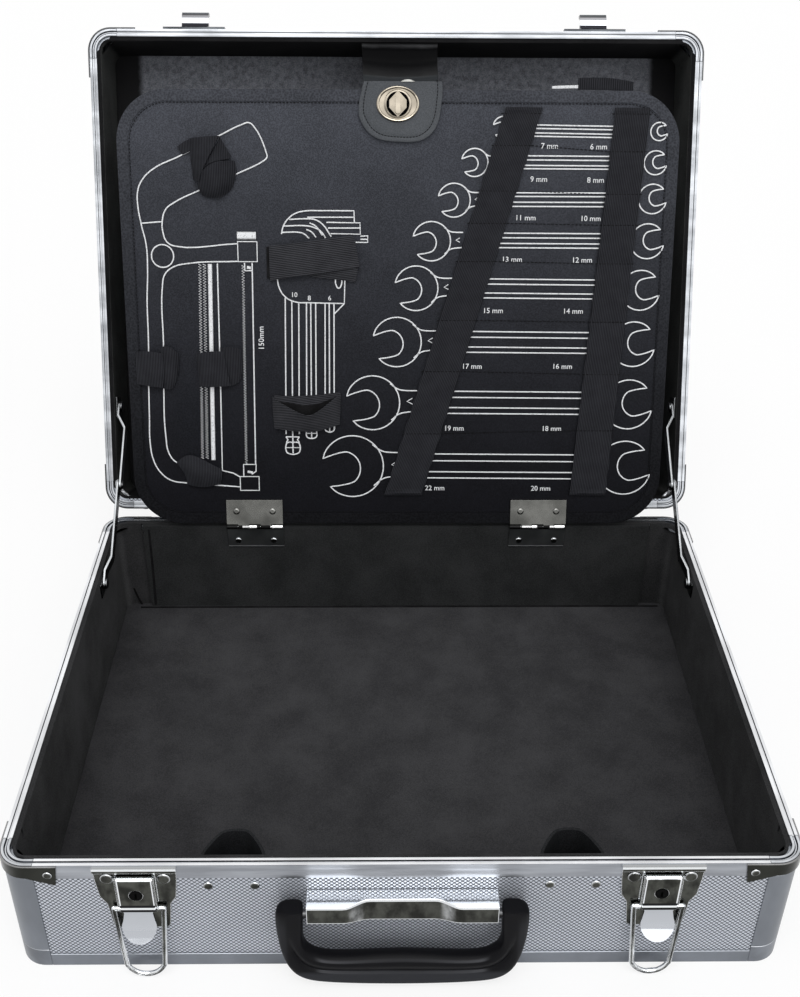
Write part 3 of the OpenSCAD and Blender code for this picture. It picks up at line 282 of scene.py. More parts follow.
def makeFacing(name, turn=None):
    look = facingLook
    finish = Finish(name, color=look["light"], metallic=0.55, roughness=0.42)
    x, y, z = finish.split(finish.place(turn))
    nx, ny, nz = finish.split(finish.facing(turn))
    sideways, level = abs(nx).over(0.6), abs(nz).over(0.6)
    across = x * (1 - sideways) + y * sideways
    upward = z * (1 - level) + y * level
    wide, tall = across * (math.pi / look["across"]), upward * (math.pi / look["up"])
    dots = abs((wide + tall).sin()) * abs((wide - tall).sin())
    raised = dots.ramp(0.08, 0.62)
    cloud = finish.noise(finish.join(x, y, z), 60, 2)
    # painted light on the raised diamonds and painted shade in the hollows between them
    tint = finish.blend(raised, look["shade"], look["light"])
    worn = finish.blend(cloud.ramp(0.2, 0.8), (0.9, 0.9, 0.9), (1.0, 1.0, 1.0))
    finish.set("Base Color", finish.tinted(tint, worn))
    finish.set("Roughness", 0.36 + (1 - raised) * 0.2 + (cloud - 0.5) * 0.12)
    finish.bump(raised, look["depth"], 0.8)
    return finish.material


clothLook = {  # dark and light of each cloth: the floor, walls, backing and lid walls are one lining, painted lighter or darker by the light each gets, and the grey felt is painted lighter, partly its own grey and partly painted light
    "floor": ((0.025, 0.025, 0.027), (0.050, 0.050, 0.053)),
    "wall": ((0.016, 0.0165, 0.017), (0.042, 0.042, 0.044)),
    "wallSide": ((0.030, 0.0305, 0.031), (0.072, 0.0725, 0.075)),
    "backing": ((0.012, 0.0128, 0.013), (0.030, 0.031, 0.032)),
    "lidWall": ((0.004, 0.004, 0.0045), (0.014, 0.014, 0.015)),
    "lidSide": ((0.030, 0.031, 0.0305), (0.080, 0.083, 0.081)),
    "felt": ((0.085, 0.089, 0.102), (0.235, 0.245, 0.275)),
    "lock": ((0.0006, 0.0006, 0.0006), (0.0016, 0.0016, 0.0016)),
    "thread": ((0.002, 0.002, 0.002), (0.012, 0.012, 0.013)),
}
feltLook = {"half": 201.5, "soft": 3.0}  # the felt stops short of the lid's sides


def makeCloth(name, tones, grain=0.9, depth=0.12, patchSize=14, sideTones=None, reach=None):
    # sideTones: lighter tones on walls that face sideways, as painted light; reach: black beyond this far
    # from the middle
    dark, light = tones
    finish = Finish(name, color=dark, roughness=0.95, specular=0.08)
    spot = finish.place()
    fibre = finish.noise(spot, grain, 4, 0.7)
    patch = finish.noise(spot, patchSize, 3)
    mask = (fibre * 0.6 + patch * 0.4).ramp(0.34, 0.66)
    tone = finish.blend(mask, dark, light)
    if sideTones:
        # painted light on walls that face sideways
        sideways = abs(finish.split(finish.facing())[0]).ramp(0.3, 0.8)
        tone = finish.blend(sideways, tone, finish.blend(mask, *sideTones))
    if reach:
        soft = feltLook["soft"]
        far = (abs(finish.split(spot)[0]) + (patch - 0.5) * 4).ramp(reach - soft, reach + soft)
        tone = finish.blend(far, tone, clothLook["lidWall"][1])
    finish.set("Base Color", tone)
    finish.bump(fibre, depth, 0.6)
    return finish.material


hideLook = {  # dark, light, and the painted light that makes it lighter up the board
    "board": ((0.0012, 0.0012, 0.0020), (0.0060, 0.0062, 0.0085), (0.074, 0.079, 0.095)),
    "tape": ((0.0010, 0.0010, 0.0015), (0.0075, 0.0078, 0.0095), (0.066, 0.070, 0.083)),
    "strap": ((0.050, 0.054, 0.060), (0.082, 0.088, 0.096), (0, 0, 0)),
    "loop": ((0.006, 0.0065, 0.007), (0.022, 0.023, 0.025), (0, 0, 0)),
}
# the board's height in millimetres, and how its painted light grows towards the top
paintedRiseLook = {"height": 334, "curve": 1.7, "dark": 0.42}


def makeHide(name, look, grain=0.9, depth=0.05, rough=0.62, turn=None):
    dark, light, lift = hideLook[look]
    finish = Finish(name, color=dark, specular=0.06)
    spot = finish.place(turn)
    x, y, z = finish.split(spot)
    cells = finish.node("ShaderNodeTexVoronoi", {"feature": "F1"}, {"Vector": spot, "Scale": 1 / grain})
    fine = finish.noise(spot, 0.45, 2)
    cloud = finish.noise(spot, 45, 3)
    mask = (cells * 0.5 + fine * 0.5).ramp(0.33, 0.66) * 0.7 + cloud.ramp(0.25, 0.75) * 0.3
    tone = finish.blend(mask, dark, light)
    # painted light, growing up the board and its binding
    if any(lift):
        paintedRiseTone = finish.blend(mask, tuple(c * paintedRiseLook["dark"] for c in lift), lift)
        tone = finish.blend((y / paintedRiseLook["height"]).top(0) ** paintedRiseLook["curve"], tone, paintedRiseTone)
    finish.set("Base Color", tone)
    finish.set("Roughness", rough + (cloud - 0.5) * 0.18)
    finish.bump(cells + fine * 0.5, depth, 0.7)
    return finish.material


webbingLook = {"dark": (0.006, 0.006, 0.0075), "light": (0.030, 0.031, 0.036),
               "loopLight": (0.050, 0.051, 0.057), "pick": 0.8}


def makeWebbing(name, ribs=1.15, slant=0.0, turn=None, axis=0, light="light"):
    finish = Finish(name, color=(0.014, 0.014, 0.016), roughness=0.85, specular=0.05)
    x, y, z = finish.split(finish.place(turn))
    along, across = (y, x - y * slant) if axis == 0 else (x, y - x * slant)
    rib = (across * (2 * math.pi / ribs)).sin() * 0.5 + 0.5
    crosswise = (along * (2 * math.pi / webbingLook["pick"])).sin() * 0.5 + 0.5
    weave = rib * 0.75 + crosswise * 0.25
    cloud = finish.noise(finish.join(x, y, z), 9, 3)
    finish.set("Base Color", finish.blend((weave * 0.7 + cloud * 0.3).ramp(0.15, 0.85), webbingLook["dark"],
                                          webbingLook[light]))
    finish.bump(weave, 0.12, 0.8)
    return finish.material


mouldLook = {"handle": (0.0045, 0.0045, 0.0055), "feet": (0.012, 0.012, 0.012)}


def makeMoulding(name, color, rough=0.36, depth=0.03):
    finish = Finish(name, color=color, specular=0.2)
    spot = finish.place()
    fine = finish.noise(spot, 0.7, 2)
    cloud = finish.noise(spot, 18, 3)
    finish.set("Roughness", rough + (cloud - 0.5) * 0.14)
    lighter = tuple(c * 1.7 + 0.004 for c in color)
    finish.set("Base Color", finish.blend(cloud.ramp(0.3, 0.8) * 0.6, color, lighter))
    finish.bump(fine, depth, 0.5)
    return finish.material


# painted shine on the handle: a highlight colour along the roll, and a paler painted sheen on the flange and
# the arms' outer slopes
gripShine = {"roll": (0.050, 0.051, 0.056), "flange": (0.026, 0.027, 0.031),
             "flangeTop": 13.2, "armEdge": 66.5, "rollHalf": 44, "rollEnd": (46, 52), "armTop": (50, 60)}


def makeGripFinish():
    dull, look = mouldLook["handle"], gripShine
    finish = Finish("handleMoulding", color=dull, specular=0.07)
    spot = finish.place()
    x, y, z = finish.split(spot)
    nx, ny, nz = finish.split(finish.facing())
    cloud = finish.noise(spot, 18, 3)
    fine = finish.noise(spot, 0.7, 2)
    ends = (abs(x) / look["rollHalf"]) ** 2
    # painted highlight along the roll's upper face, brighter towards its ends
    shine = (nz.ramp(0.46, 0.62) * (1 - nz.ramp(0.70, 0.86)) * (0.30 + ends * 0.6)
             * (1 - abs(x).ramp(*look["rollEnd"])))
    # painted sheen: the matte flange and the arms' outer slopes are painted paler
    low = 1 - (z + (cloud - 0.5) * 3).ramp(look["flangeTop"] - 1, look["flangeTop"] + 2.5)
    edge = abs(x).ramp(look["armEdge"] - 1, look["armEdge"] + 2) * (1 - z.ramp(*look["armTop"])) * 0.45
    tone = finish.blend(low.top(edge) * (0.75 + cloud * 0.25), dull, look["flange"])
    finish.set("Base Color", finish.blend(shine, tone, look["roll"]))
    finish.set("Roughness", 0.40 + (cloud - 0.5) * 0.14 + low * 0.25)
    finish.bump(fine, 0.03, 0.5)
    return finish.material


webLook = {"black": (0.0010, 0.0010, 0.0013), "sheen": (0.060, 0.061, 0.064), "fold": (0.026, 0.029, 0.032),
           "boardEnd": (277, 281), "lidEnd": (326, 333)}


def makeWeb():  # black where it hangs, paler like the tab where it folds at the board, and a painted highlight where it turns at the lid wall and over the patch there
    look = webLook
    finish = Finish("strapWebHide", color=look["black"], specular=0.03)
    spot = finish.place()
    x, y, z = finish.split(spot)
    fine = finish.noise(spot, 0.8, 3)
    cloud = finish.noise(spot, 12, 2)
    near, far = 1 - y.ramp(*look["boardEnd"]), (y + (cloud - 0.5) * 4).ramp(*look["lidEnd"])
    tone = finish.blend(near * (0.6 + fine * 0.4), look["black"], look["fold"])
    finish.set("Base Color", finish.blend(far * (0.5 + cloud * 0.5), tone, look["sheen"]))
    finish.set("Roughness", 0.4 + (cloud - 0.5) * 0.2)
    finish.bump(fine, 0.04, 0.6)
    return finish.material


def makePrint():
    finish = Finish("whitePrint", color=(0.62, 0.63, 0.65), roughness=0.6)
    fine = finish.noise(finish.place(), 0.8, 3)
    finish.set("Base Color", finish.blend(fine.ramp(0.28, 0.5), (0.30, 0.31, 0.32), (0.70, 0.71, 0.73)))
    finish.bump(fine, 0.02, 0.4)
    return finish.material


rimMetal = makeMetal("satinRim", "rim", groove=1)
# the lid's metals are darker copies of the base's, painted shade
lidRimShadedMetal = makeMetal("satinLidRimShaded", "lidRim", lidPlace, groove=-1)
lidCasting = makeMetal("castLidCornersShaded", "lidCasting", lidPlace, groove=-1)
lidChrome = makeMetal("chromeCatchesShaded", "lidChrome")
lidDark = makeMetal("lidPlatingShaded", "lidDark")
stayMetal = makeMetal("staySteel", "stay")
postMetal = makeMetal("satinPosts", "post")
casting = makeMetal("castCorners", "casting", groove=1)
chrome = makeMetal("chromeFittings", "chrome")
dark = makeMetal("darkPlating", "dark")
zinc = makeMetal("brightZinc", "zinc")
nickel = makeMetal("warmNickel", "nickel")
facing = makeFacing("embossedFacing")
lidFacing = makeFacing("embossedFacingLid", lidPlace)
floorNap = makeCloth("floorNap", clothLook["floor"], 0.9, 0.15, 30)
wallNap = makeCloth("wallNap", clothLook["wall"], 0.9, 0.12, 40, clothLook["wallSide"])
backNap = makeCloth("backingNap", clothLook["backing"], 0.9, 0.12, 40)
lidNap = makeCloth("lidWallNap", clothLook["lidWall"], 0.9, 0.12, 40, clothLook["lidSide"])
felt = makeCloth("greyFelt", clothLook["felt"], 0.9, 0.25, 4, reach=feltLook["half"])
hide = makeHide("boardLeathercloth", "board", turn=boardPlace)
tape = makeHide("bindingTape", "tape", 1.5, 0.22, 0.7, boardPlace)
strapHide = makeHide("strapLeathercloth", "strap", 0.8, 0.03, 0.5)
loopHide = makeHide("loopLeathercloth", "loop", 0.8, 0.03, 0.6)
webHide = makeWeb()
moulding = makeGripFinish()
rubber = makeMoulding("footRubber", mouldLook["feet"], 0.7, 0.06)
# near-black for the lock cylinders and the turn lock's well: painted shade in keyhole and hollow
lockShade = makeCloth("lockShade", clothLook["lock"], 0.6, 0.01)

# the board hinges' barrels are painted dark as shade but for short painted highlights; the lower leaves end
# in a thin painted highlight
barrelLook = {"lower": (85.7, 90.4), "upper": (85.7, 90.2), "dash": (87.9, 89.9),
              "black": (0.012, 0.012, 0.012), "white": (0.80, 0.80, 0.80),
              "lengths": ((-121.3, -110.2), (-99.4, -89.0), (99.0, 110.9), (121.0, 132.6)),
              "foot": (68.7, 69.6), "footTone": (0.85, 0.87, 0.89)}


def barrelShadeAndGlints(band):
    look = barrelLook
    paintedGlints = [(0, *ends, 2, *look["dash"], look["white"]) for ends in look["lengths"]]
    return [(2, *look[band], look["black"])] + paintedGlints


leafMetal = makeMetal("darkLeaf", "leaf",
                      marks=barrelShadeAndGlints("lower") + [(2, *barrelLook["foot"], barrelLook["footTone"])])
upperLeafMetal = makeMetal("upperLeafZinc", "zinc", marks=barrelShadeAndGlints("upper"))
# black thread, also used for the black sheets of painted shade on the loops and in the lining's creases
thread = makeCloth("blackThreadAndShade", clothLook["thread"], 0.4, 0.05)
printed = makePrint()
print("finishes made")


# Modelling helpers

def deselect():
    if bpy.context.object and bpy.context.object.mode != "OBJECT":
        bpy.ops.object.mode_set(mode="OBJECT")
    bpy.ops.object.select_all(action="DESELECT")


def pick(piece):
    deselect()
    piece.select_set(True)
    bpy.context.view_layer.objects.active = piece


def applyAll(piece):
    pick(piece)
    for modifier in list(piece.modifiers):
        bpy.ops.object.modifier_apply(modifier=modifier.name)


def editAll(piece=None):  # edit mode with everything selected
    if piece:
        pick(piece)
    bpy.ops.object.mode_set(mode="EDIT")
    bpy.ops.mesh.select_all(action="SELECT")


def leaveEdit():
    bpy.ops.object.mode_set(mode="OBJECT")


def settle(piece, place=None):  # puts a piece's place in its mesh
    pick(piece)
    if place is not None:
        piece.matrix_world = place @ piece.matrix_world
    bpy.ops.object.transform_apply(location=True, rotation=True, scale=True)


def smooth(piece, angle=35):
    pick(piece)
    bpy.ops.object.shade_smooth_by_angle(angle=math.radians(angle))


def flatten(piece):  # keeps big faces flat beside rounded edges
    even = piece.modifiers.new("even", "WEIGHTED_NORMAL")
    even.keep_sharp, even.weight = True, 100
    applyAll(piece)


def standIn(piece, node, body):  # the piece joins a CAD part's body, and the CAD part is hidden
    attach(piece, body)
    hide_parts(node)


def smoothRun(points, steps=4):  # extra points on a soft curve through the given ones
    made = []
    for i in range(len(points) - 1):
        a, b, c, d = points[max(i - 1, 0)], points[i], points[i + 1], points[min(i + 2, len(points) - 1)]
        for k in range(steps):
            t = k / steps
            made.append(tuple(
                0.5 * (2 * q + (r - p) * t + (2 * p - 5 * q + 4 * r - s) * t * t
                       + (3 * q - p - 3 * r + s) * t ** 3) for p, q, r, s in zip(a, b, c, d)))
    return made + [points[-1]]


def loft(name, rings, levels=1):  # a closed form through rings of points in millimetres
    around, along = len(rings[0]), len(rings) - 1
    deselect()
    bpy.ops.mesh.primitive_grid_add(x_subdivisions=around, y_subdivisions=along, size=1)
    piece = bpy.context.object
    piece.name = piece.data.name = name
    for vertex in piece.data.vertices:
        ring = rings[round((vertex.co.y + 0.5) * along)]
        vertex.co = Vector(ring[round((vertex.co.x + 0.5) * around) % around]) * mm
    editAll()
    bpy.ops.mesh.remove_doubles(threshold=0.00001)
    bpy.ops.mesh.fill_holes(sides=0)
    bpy.ops.mesh.normals_make_consistent(inside=False)
    leaveEdit()
    soft = piece.modifiers.new("soft", "SUBSURF")
    soft.levels = soft.render_levels = levels
    applyAll(piece)
    smooth(piece, 60)
    return piece


def outlined(name, points, z):  # a flat face through (x, y) points, facing up
    deselect()
    bpy.ops.mesh.primitive_circle_add(vertices=len(points), radius=1, fill_type="NGON")
    piece = bpy.context.object
    piece.name = piece.data.name = name
    for vertex, (x, y) in zip(piece.data.vertices, points):
        vertex.co = (x * mm, y * mm, z * mm)
    piece.data.update()
    if piece.data.polygons[0].normal.z < 0:
        piece.data.flip_normals()
    return piece


def pull(x=0, y=0, z=0):  # extrudes the selected face
    bpy.ops.mesh.extrude_region_move(TRANSFORM_OT_translate={"value": (x * mm, y * mm, z * mm)})


def coat(piece, material):
    piece.data.materials.clear()
    piece.data.materials.append(material)


def joinAll(pieces, name):
    deselect()
    for piece in pieces:
        piece.select_set(True)
    bpy.context.view_layer.objects.active = pieces[0]
    if len(pieces) > 1:
        bpy.ops.object.join()
    made = bpy.context.object
    made.name = made.data.name = name
    return made


def softened(node, name, width, material, body, segments=2, sharp=28):
    # a copy of a CAD part with its doubles merged and its edges broken
    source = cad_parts[node]
    piece = source.copy()
    piece.data = source.data.copy()
    for key in list(piece.keys()):
        del piece[key]
    piece.parent = None
    piece.matrix_world = world
    bpy.context.collection.objects.link(piece)
    piece.name = piece.data.name = name
    editAll(piece)
    bpy.ops.mesh.remove_doubles(threshold=0.00002)
    bpy.ops.mesh.dissolve_limited(angle_limit=math.radians(1))
    leaveEdit()
    bevel = piece.modifiers.new("edges", "BEVEL")
    bevel.width, bevel.segments = width * mm, segments
    bevel.limit_method, bevel.angle_limit = "ANGLE", math.radians(sharp)
    bevel.use_clamp_overlap = True
    applyAll(piece)
    smooth(piece, 38)
    flatten(piece)
    coat(piece, material)
    standIn(piece, node, body)
    return piece


# Metalwork: CAD parts with broken edges, some of which are reshaped a little further below
metalwork = [
    ("base_rim", "baseRim", 0.35, rimMetal, "base"), ("lid_rim", "lidRim", 0.35, lidRimShadedMetal, "lid"),
    ("base_rim_corners", "baseRimCorners", 0.4, casting, "base"),
    ("lid_rim_corners", "lidRimCorners", 0.4, lidCasting, "lid"),
    ("base_corner_posts", "baseCornerPosts", 0.25, postMetal, "base"),
    ("lid_corner_posts", "lidCornerPosts", 0.25, postMetal, "lid"),
    ("base_bottom_edges", "baseBottomEdges", 0.35, postMetal, "base"),
    ("lid_top_edges", "lidTopEdges", 0.35, postMetal, "lid"),
    ("base_corner_caps", "baseCornerCaps", 0.6, casting, "base"),
    ("lid_corner_caps", "lidCornerCaps", 0.6, casting, "lid"),
    ("base_corner_plates", "baseCornerPlates", 0.3, dark, "base"),
    ("lid_corner_plates", "lidCornerPlates", 0.3, lidDark, "lid"),
    ("base_fasteners", "baseRivets", 0.3, chrome, "base"), ("lid_fasteners", "lidRivets", 0.3, chrome, "lid"),
    ("latch_plates", "latchPlates", 0.5, chrome, "base"),
    ("catch_hooks", "catchHooks", 0.3, lidChrome, "lid"),
    ("lock_left", "lockLeft", 0.25, lockShade, "left_lock"),
    ("lock_right", "lockRight", 0.25, lockShade, "right_lock"),
    ("turn_knob", "turnKnob", 0.5, nickel, "knob"),
    ("rear_hinge_base_leaves", "rearHingeBase", 0.25, zinc, "base"),
    ("rear_hinge_lid_leaves", "rearHingeLid", 0.25, zinc, "lid"),
    ("board_hinge_lower_leaves", "boardHingeLower", 0.3, leafMetal, "base"),
    ("board_hinge_upper_leaves", "boardHingeUpper", 0.25, upperLeafMetal, "board"),
    ("board_fasteners", "boardRivets", 0.25, zinc, "board"),
    ("stay_base_brackets", "stayBaseBrackets", 0.2, stayMetal, "base"),
    ("stay_lid_brackets", "stayLidBrackets", 0.2, stayMetal, "lid"),
    ("stay_lower_left", "stayLowerLeft", 0.25, stayMetal, "left_lower_arm"),
    ("stay_lower_right", "stayLowerRight", 0.25, stayMetal, "right_lower_arm"),
    ("stay_upper_left", "stayUpperLeft", 0.25, stayMetal, "left_upper_arm"),
    ("stay_upper_right", "stayUpperRight", 0.25, stayMetal, "right_upper_arm"),
]
for node, name, width, material, body in metalwork:
    softened(node, name, width, material, body)

# Rims are slimmer to the eye than the CAD's, towards their outer edge; the linings rise beside them
rimLook = {"share": 0.68, "half": (230.0, 180.0), "corner": 16.0}


def slimmed(piece, there=world):
    back, corner, share = there.inverted(), rimLook["corner"], rimLook["share"]
    for vertex in piece.data.vertices:
        spot = (back @ vertex.co) / mm
        sides = [1 if c > 0 else -1 for c in (spot.x, spot.y)]
        over = [abs(c) - (half - corner) for c, half in zip((spot.x, spot.y), rimLook["half"])]
        if min(over) > 0:
            reach = math.hypot(*over)
            grow = (reach + (corner - reach) * (1 - share)) / reach
            over = [o * grow for o in over]
        else:
            outer = 0 if over[0] > over[1] else 1
            over[outer] = corner - (corner - over[outer]) * share
        for axis in (0, 1):
            spot[axis] = sides[axis] * (rimLook["half"][axis] - corner + over[axis])
        vertex.co = there @ (spot * mm)


for name in ("baseRim", "baseRimCorners"):
    slimmed(bpy.data.objects[name])
for name in ("lidRim", "lidRimCorners"):
    slimmed(bpy.data.objects[name], lidPlace)

# Catch hooks reach further from the lid than the CAD's; painted bands on them stand for shade and reflection:
# painted shade next to the lid, a painted highlight, then a dimmer band
hookLook = {"reach": 1.5,
            "bands": {(-186.2, -181.6): (0.010, 0.010, 0.012), (-190.0, -186.3): (0.62, 0.64, 0.66),
                      (-193.0, -190.1): (0.10, 0.10, 0.105)}}
hooks = bpy.data.objects["catchHooks"]
for vertex in hooks.data.vertices:
    spot = lidPlace.inverted() @ vertex.co
    if spot.y < frontWall * mm:
        spot.y = (frontWall + (spot.y / mm - frontWall) * hookLook["reach"]) * mm
        vertex.co = lidPlace @ spot
coat(hooks, makeMetal("chromeHooksPaintedBands", "lidChrome", lidPlace,
                      [(1, *band, color) for band, color in hookLook["bands"].items()]))

# The latch plates' ledge is painted grey with a painted highlight on its lip, and dark under it
latchLook = {"ledge": (87.45, 89.0), "tone": (0.40, 0.41, 0.42),
             "lip": (85.8, 87.45), "bright": (0.84, 0.86, 0.88)}
coat(bpy.data.objects["latchPlates"], makeMetal("latchChrome", "chrome", marks=(
    (2, *latchLook["ledge"], latchLook["tone"]), (2, *latchLook["lip"], latchLook["bright"]))))

# Levers: painted bands stand for light and shade: a painted highlight on the bend's ridge and along both
# sides, painted shade round the ridge, and a pale painted reflection on the tongue
leverLook = {"edge": 0.7, "ridge": (57.0, 58.7), "shade": (55.2, 60.7), "tongueFoot": 10.0, "bend": 59.7,
             "above": 4.0, "shorten": 0.90,
             "white": (0.86, 0.88, 0.90), "black": (0.012, 0.012, 0.013), "pale": (0.50, 0.52, 0.555)}


def makeLever(node, name, body):
    look = leverLook
    lever = softened(node, name, 0.4, chrome, body)
    high = [v.co.x / mm for v in lever.data.vertices if v.co.z / mm > look["bend"] + look["above"]]
    left, right = min(high), max(high)
    bend = look["bend"]
    for vertex in lever.data.vertices:
        if vertex.co.z / mm < bend:
            vertex.co.z = (bend - (bend - vertex.co.z / mm) * look["shorten"]) * mm
    coat(lever, makeMetal(name + "Chrome", "chrome", marks=(
        (0, left - 1, left + look["edge"], look["white"]),
        (0, right - look["edge"], right + 1, look["white"]),
        (2, look["tongueFoot"], look["shade"][0], look["pale"]),
        (2, *look["shade"], look["black"]), (2, *look["ridge"], look["white"]))))


makeLever("lever_left", "leverLeft", "left_lever")
makeLever("lever_right", "leverRight", "right_lever")

# Bails: the wire is a little stouter and hangs lower than the CAD's
bailLook = {"stout": 0.35, "longer": 1.035, "forward": 5.0}


def makeBail(node, name, body):
    bail = softened(node, name, 0.1, chrome, body, 1, 80)
    heights = [v.co.z for v in bail.data.vertices]
    top, low = max(heights), min(heights)
    for vertex in bail.data.vertices:
        vertex.co += vertex.normal * bailLook["stout"] * mm
        vertex.co.y -= bailLook["forward"] * mm * (top - vertex.co.z) / (top - low)
        vertex.co.z = top - (top - vertex.co.z) * bailLook["longer"]
    pick(bail)
    bpy.ops.mesh.customdata_custom_splitnormals_clear()
    smooth(bail, 70)


makeBail("bail_left", "bailLeft", "left_bail")
makeBail("bail_right", "bailRight", "right_bail")
coat(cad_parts["hinge_pins"], chrome)
# pivot pins take the lid's darker plating copy, as painted shade where they stand between bracket and arms
coat(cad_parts["pivot_pins"], lidDark)
for node in ("base_front_panel", "base_back_panel", "base_side_panels", "base_floor_panel"):
    coat(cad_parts[node], facing)
for node in ("lid_top_panel", "lid_end_panels", "lid_side_panels"):
    coat(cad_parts[node], lidFacing)
softened("base_rear_feet", "baseFeet", 0.8, rubber, "base", 3)
softened("lid_rear_feet", "lidFeet", 0.8, rubber, "lid", 3)

# Handle bracket: a ledge over a face that stands out at each end, with painted highlights on the ledge, down
# both ends and along the lower edge
bracketLook = {"half": 55.2, "back": -179.4, "top": 66.5, "endProud": 13.0, "midProud": 7.0, "endLow": 52.5,
               "midLow": 48.9, "flat": 19, "slope": 15, "wall": 1.2, "round": 0.55,
               "hemHighlight": 0.9, "endLine": 0.6, "ledge": (64.6, 66.45), "bright": (0.80, 0.82, 0.84)}


def makeBracket():
    look = bracketLook
    front = []
    for k in range(49):
        x = look["half"] * (k / 24 - 1)
        t = min(max((abs(x) - look["flat"]) / look["slope"], 0), 1)
        t = t * t * (3 - 2 * t)
        front.append((x, frontWall - look["midProud"] - (look["endProud"] - look["midProud"]) * t,
                      look["midLow"] + (look["endLow"] - look["midLow"]) * t))
    plan = [(-look["half"], look["back"])] + [(x, y) for x, y, low in front] + [(look["half"], look["back"])]
    lows = [look["endLow"]] + [low for x, y, low in front] + [look["endLow"]]
    bracket = outlined("handleBracket", plan, look["top"])
    editAll()
    pull(z=-12)
    bpy.ops.mesh.delete(type="ONLY_FACE")
    bpy.ops.mesh.select_all(action="SELECT")
    bpy.ops.mesh.normals_make_consistent(inside=False)
    leaveEdit()
    for vertex in bracket.data.vertices:
        if vertex.co.z < (look["top"] - 6) * mm:
            near = min(range(len(plan)), key=lambda i: abs(plan[i][0] - vertex.co.x / mm)
                       + abs(plan[i][1] - vertex.co.y / mm))
            vertex.co.z = lows[near] * mm
    if next(f for f in bracket.data.polygons if abs(f.normal.z) > 0.9).normal.z < 0:
        bracket.data.flip_normals()
    wall = bracket.modifiers.new("wall", "SOLIDIFY")
    wall.thickness, wall.offset, wall.use_even_offset = look["wall"] * mm, -1, True
    edge = bracket.modifiers.new("edge", "BEVEL")
    edge.width, edge.segments = look["round"] * mm, 3
    edge.limit_method, edge.angle_limit = "ANGLE", math.radians(50)
    applyAll(bracket)
    smooth(bracket, 40)
    flatten(bracket)
    end, bright = look["half"], look["bright"]
    coat(bracket, makeMetal(
        "bracketChrome", "chrome",
        marks=[(2, *look["ledge"], bright), (0, -end - 0.8, -end + look["endLine"], bright),
               (0, end - look["endLine"], end + 0.8, bright)],
        hemHighlight=(look["flat"], look["flat"] + look["slope"], look["midLow"], look["endLow"],
             look["hemHighlight"], bright)))
    standIn(bracket, "handle_bracket", "base")


# Handle: a soft roll along the inside of a flat flange, lofted round from arm to arm
gripLook = {"lean": 4.6, "axle": (-189.0, 57.0)}
gripRun = [  # inner edge x, z, outer edge x, z, and how far the roll has grown
    (58.4, 62.2, 68.6, 62.2, 0), (57.1, 61.4, 71.6, 61, 0), (57, 59, 72.8, 58.4, 0), (57.1, 52, 73, 52, 0),
    (57.5, 45, 72.5, 43.4, 0.1), (57.4, 39, 71.5, 35.4, 0.45), (56.3, 33.4, 69.7, 26.8, 0.85),
    (53, 29, 66.6, 17.8, 1), (47.8, 26.3, 61.6, 10.6, 1), (40.5, 25.1, 53.4, 6.2, 1),
    (29.5, 25, 39, 4.2, 1), (15, 25.9, 19.2, 3.2, 1),
    (0, 26.4, 0, 2.9, 1)]
rollSide = [(0.03, -4.5), (0, -0.5), (0.04, 3), (0.14, 5.4), (0.28, 6.1), (0.42, 4.8), (0.52, 3),
            (0.56, 3.2), (0.60, 4.6), (0.72, 5), (0.95, 5), (1, 3.4), (1, -1), (0.96, -4.4), (0.8, -5.8),
            (0.5, -6.3), (0.2, -6.1)]
armSide = [(0.03, -5.6), (0, -1.5), (0, 3.4), (0.08, 5.2), (0.25, 5.9), (0.44, 6.1), (0.50, 6.1), (0.56, 6),
           (0.62, 5.8), (0.75, 5.2), (0.93, 3.9), (1, 2.2), (1, -1), (0.97, -4.8), (0.85, -6.3), (0.5, -6.5),
           (0.15, -6.4)]


def makeGrip():
    half = smoothRun(gripRun, 3)
    tilt = math.radians(gripLook["lean"])
    axleY, axleZ = gripLook["axle"]
    stations = [(-a, b, -c, d, e) for a, b, c, d, e in half] + list(reversed(half[:-1]))
    rings = []
    for innerX, innerZ, outerX, outerZ, grown in stations:
        ring = []
        for (s0, n0), (s1, n1) in zip(armSide, rollSide):
            s, n = s0 + (s1 - s0) * grown, n0 + (n1 - n0) * grown
            x = innerX + (outerX - innerX) * s
            drop = axleZ - (innerZ + (outerZ - innerZ) * s)
            ring.append((x, axleY - math.sin(tilt) * drop - math.cos(tilt) * n,
                         axleZ - math.cos(tilt) * drop + math.sin(tilt) * n))
        rings.append(ring)
    grip = loft("handleGrip", rings)
    coat(grip, moulding)
    standIn(grip, "handle", "grip")


makeBracket()
makeGrip()
print("metalwork done")

# Linings: their edges rise beside the slimmer rims and lean out to meet them
for node, name, material, body in (
        ("base_wall_lining", "baseWallLining", wallNap, "base"),
        ("base_floor_lining", "baseFloorLining", floorNap, "base"),
        ("hinge_backing", "coveredBacking", backNap, "base"),
        ("lid_wall_lining", "lidWallLining", lidNap, "lid"),
        ("lid_top_lining", "lidFelt", felt, "lid")):
    softened(node, name, 0.5, material, body, 3)
# walls: how far each pair stands from the middle across x and across y, and how far along it the lean goes
liningLook = {"baseEdge": 87.2, "lidEdge": 89.1, "lean": 1.6, "walls": ((223.2, 164), (173.2, 214))}


def raiseEdge(lining, level, outermost, there=world):
    spots = [there.inverted() @ v.co for v in lining.data.vertices]
    edge = outermost(p.z for p in spots)
    for vertex, spot in zip(lining.data.vertices, spots):
        if abs(spot.z - edge) < 1.2 * mm:
            for axis, (wall, reach) in enumerate(liningLook["walls"]):
                if abs(abs(spot[axis]) - wall * mm) < 0.8 * mm and abs(spot[1 - axis]) < reach * mm:
                    spot[axis] += math.copysign(liningLook["lean"] * mm, spot[axis])
                    break
            spot.z += level * mm - edge
            vertex.co = there @ spot


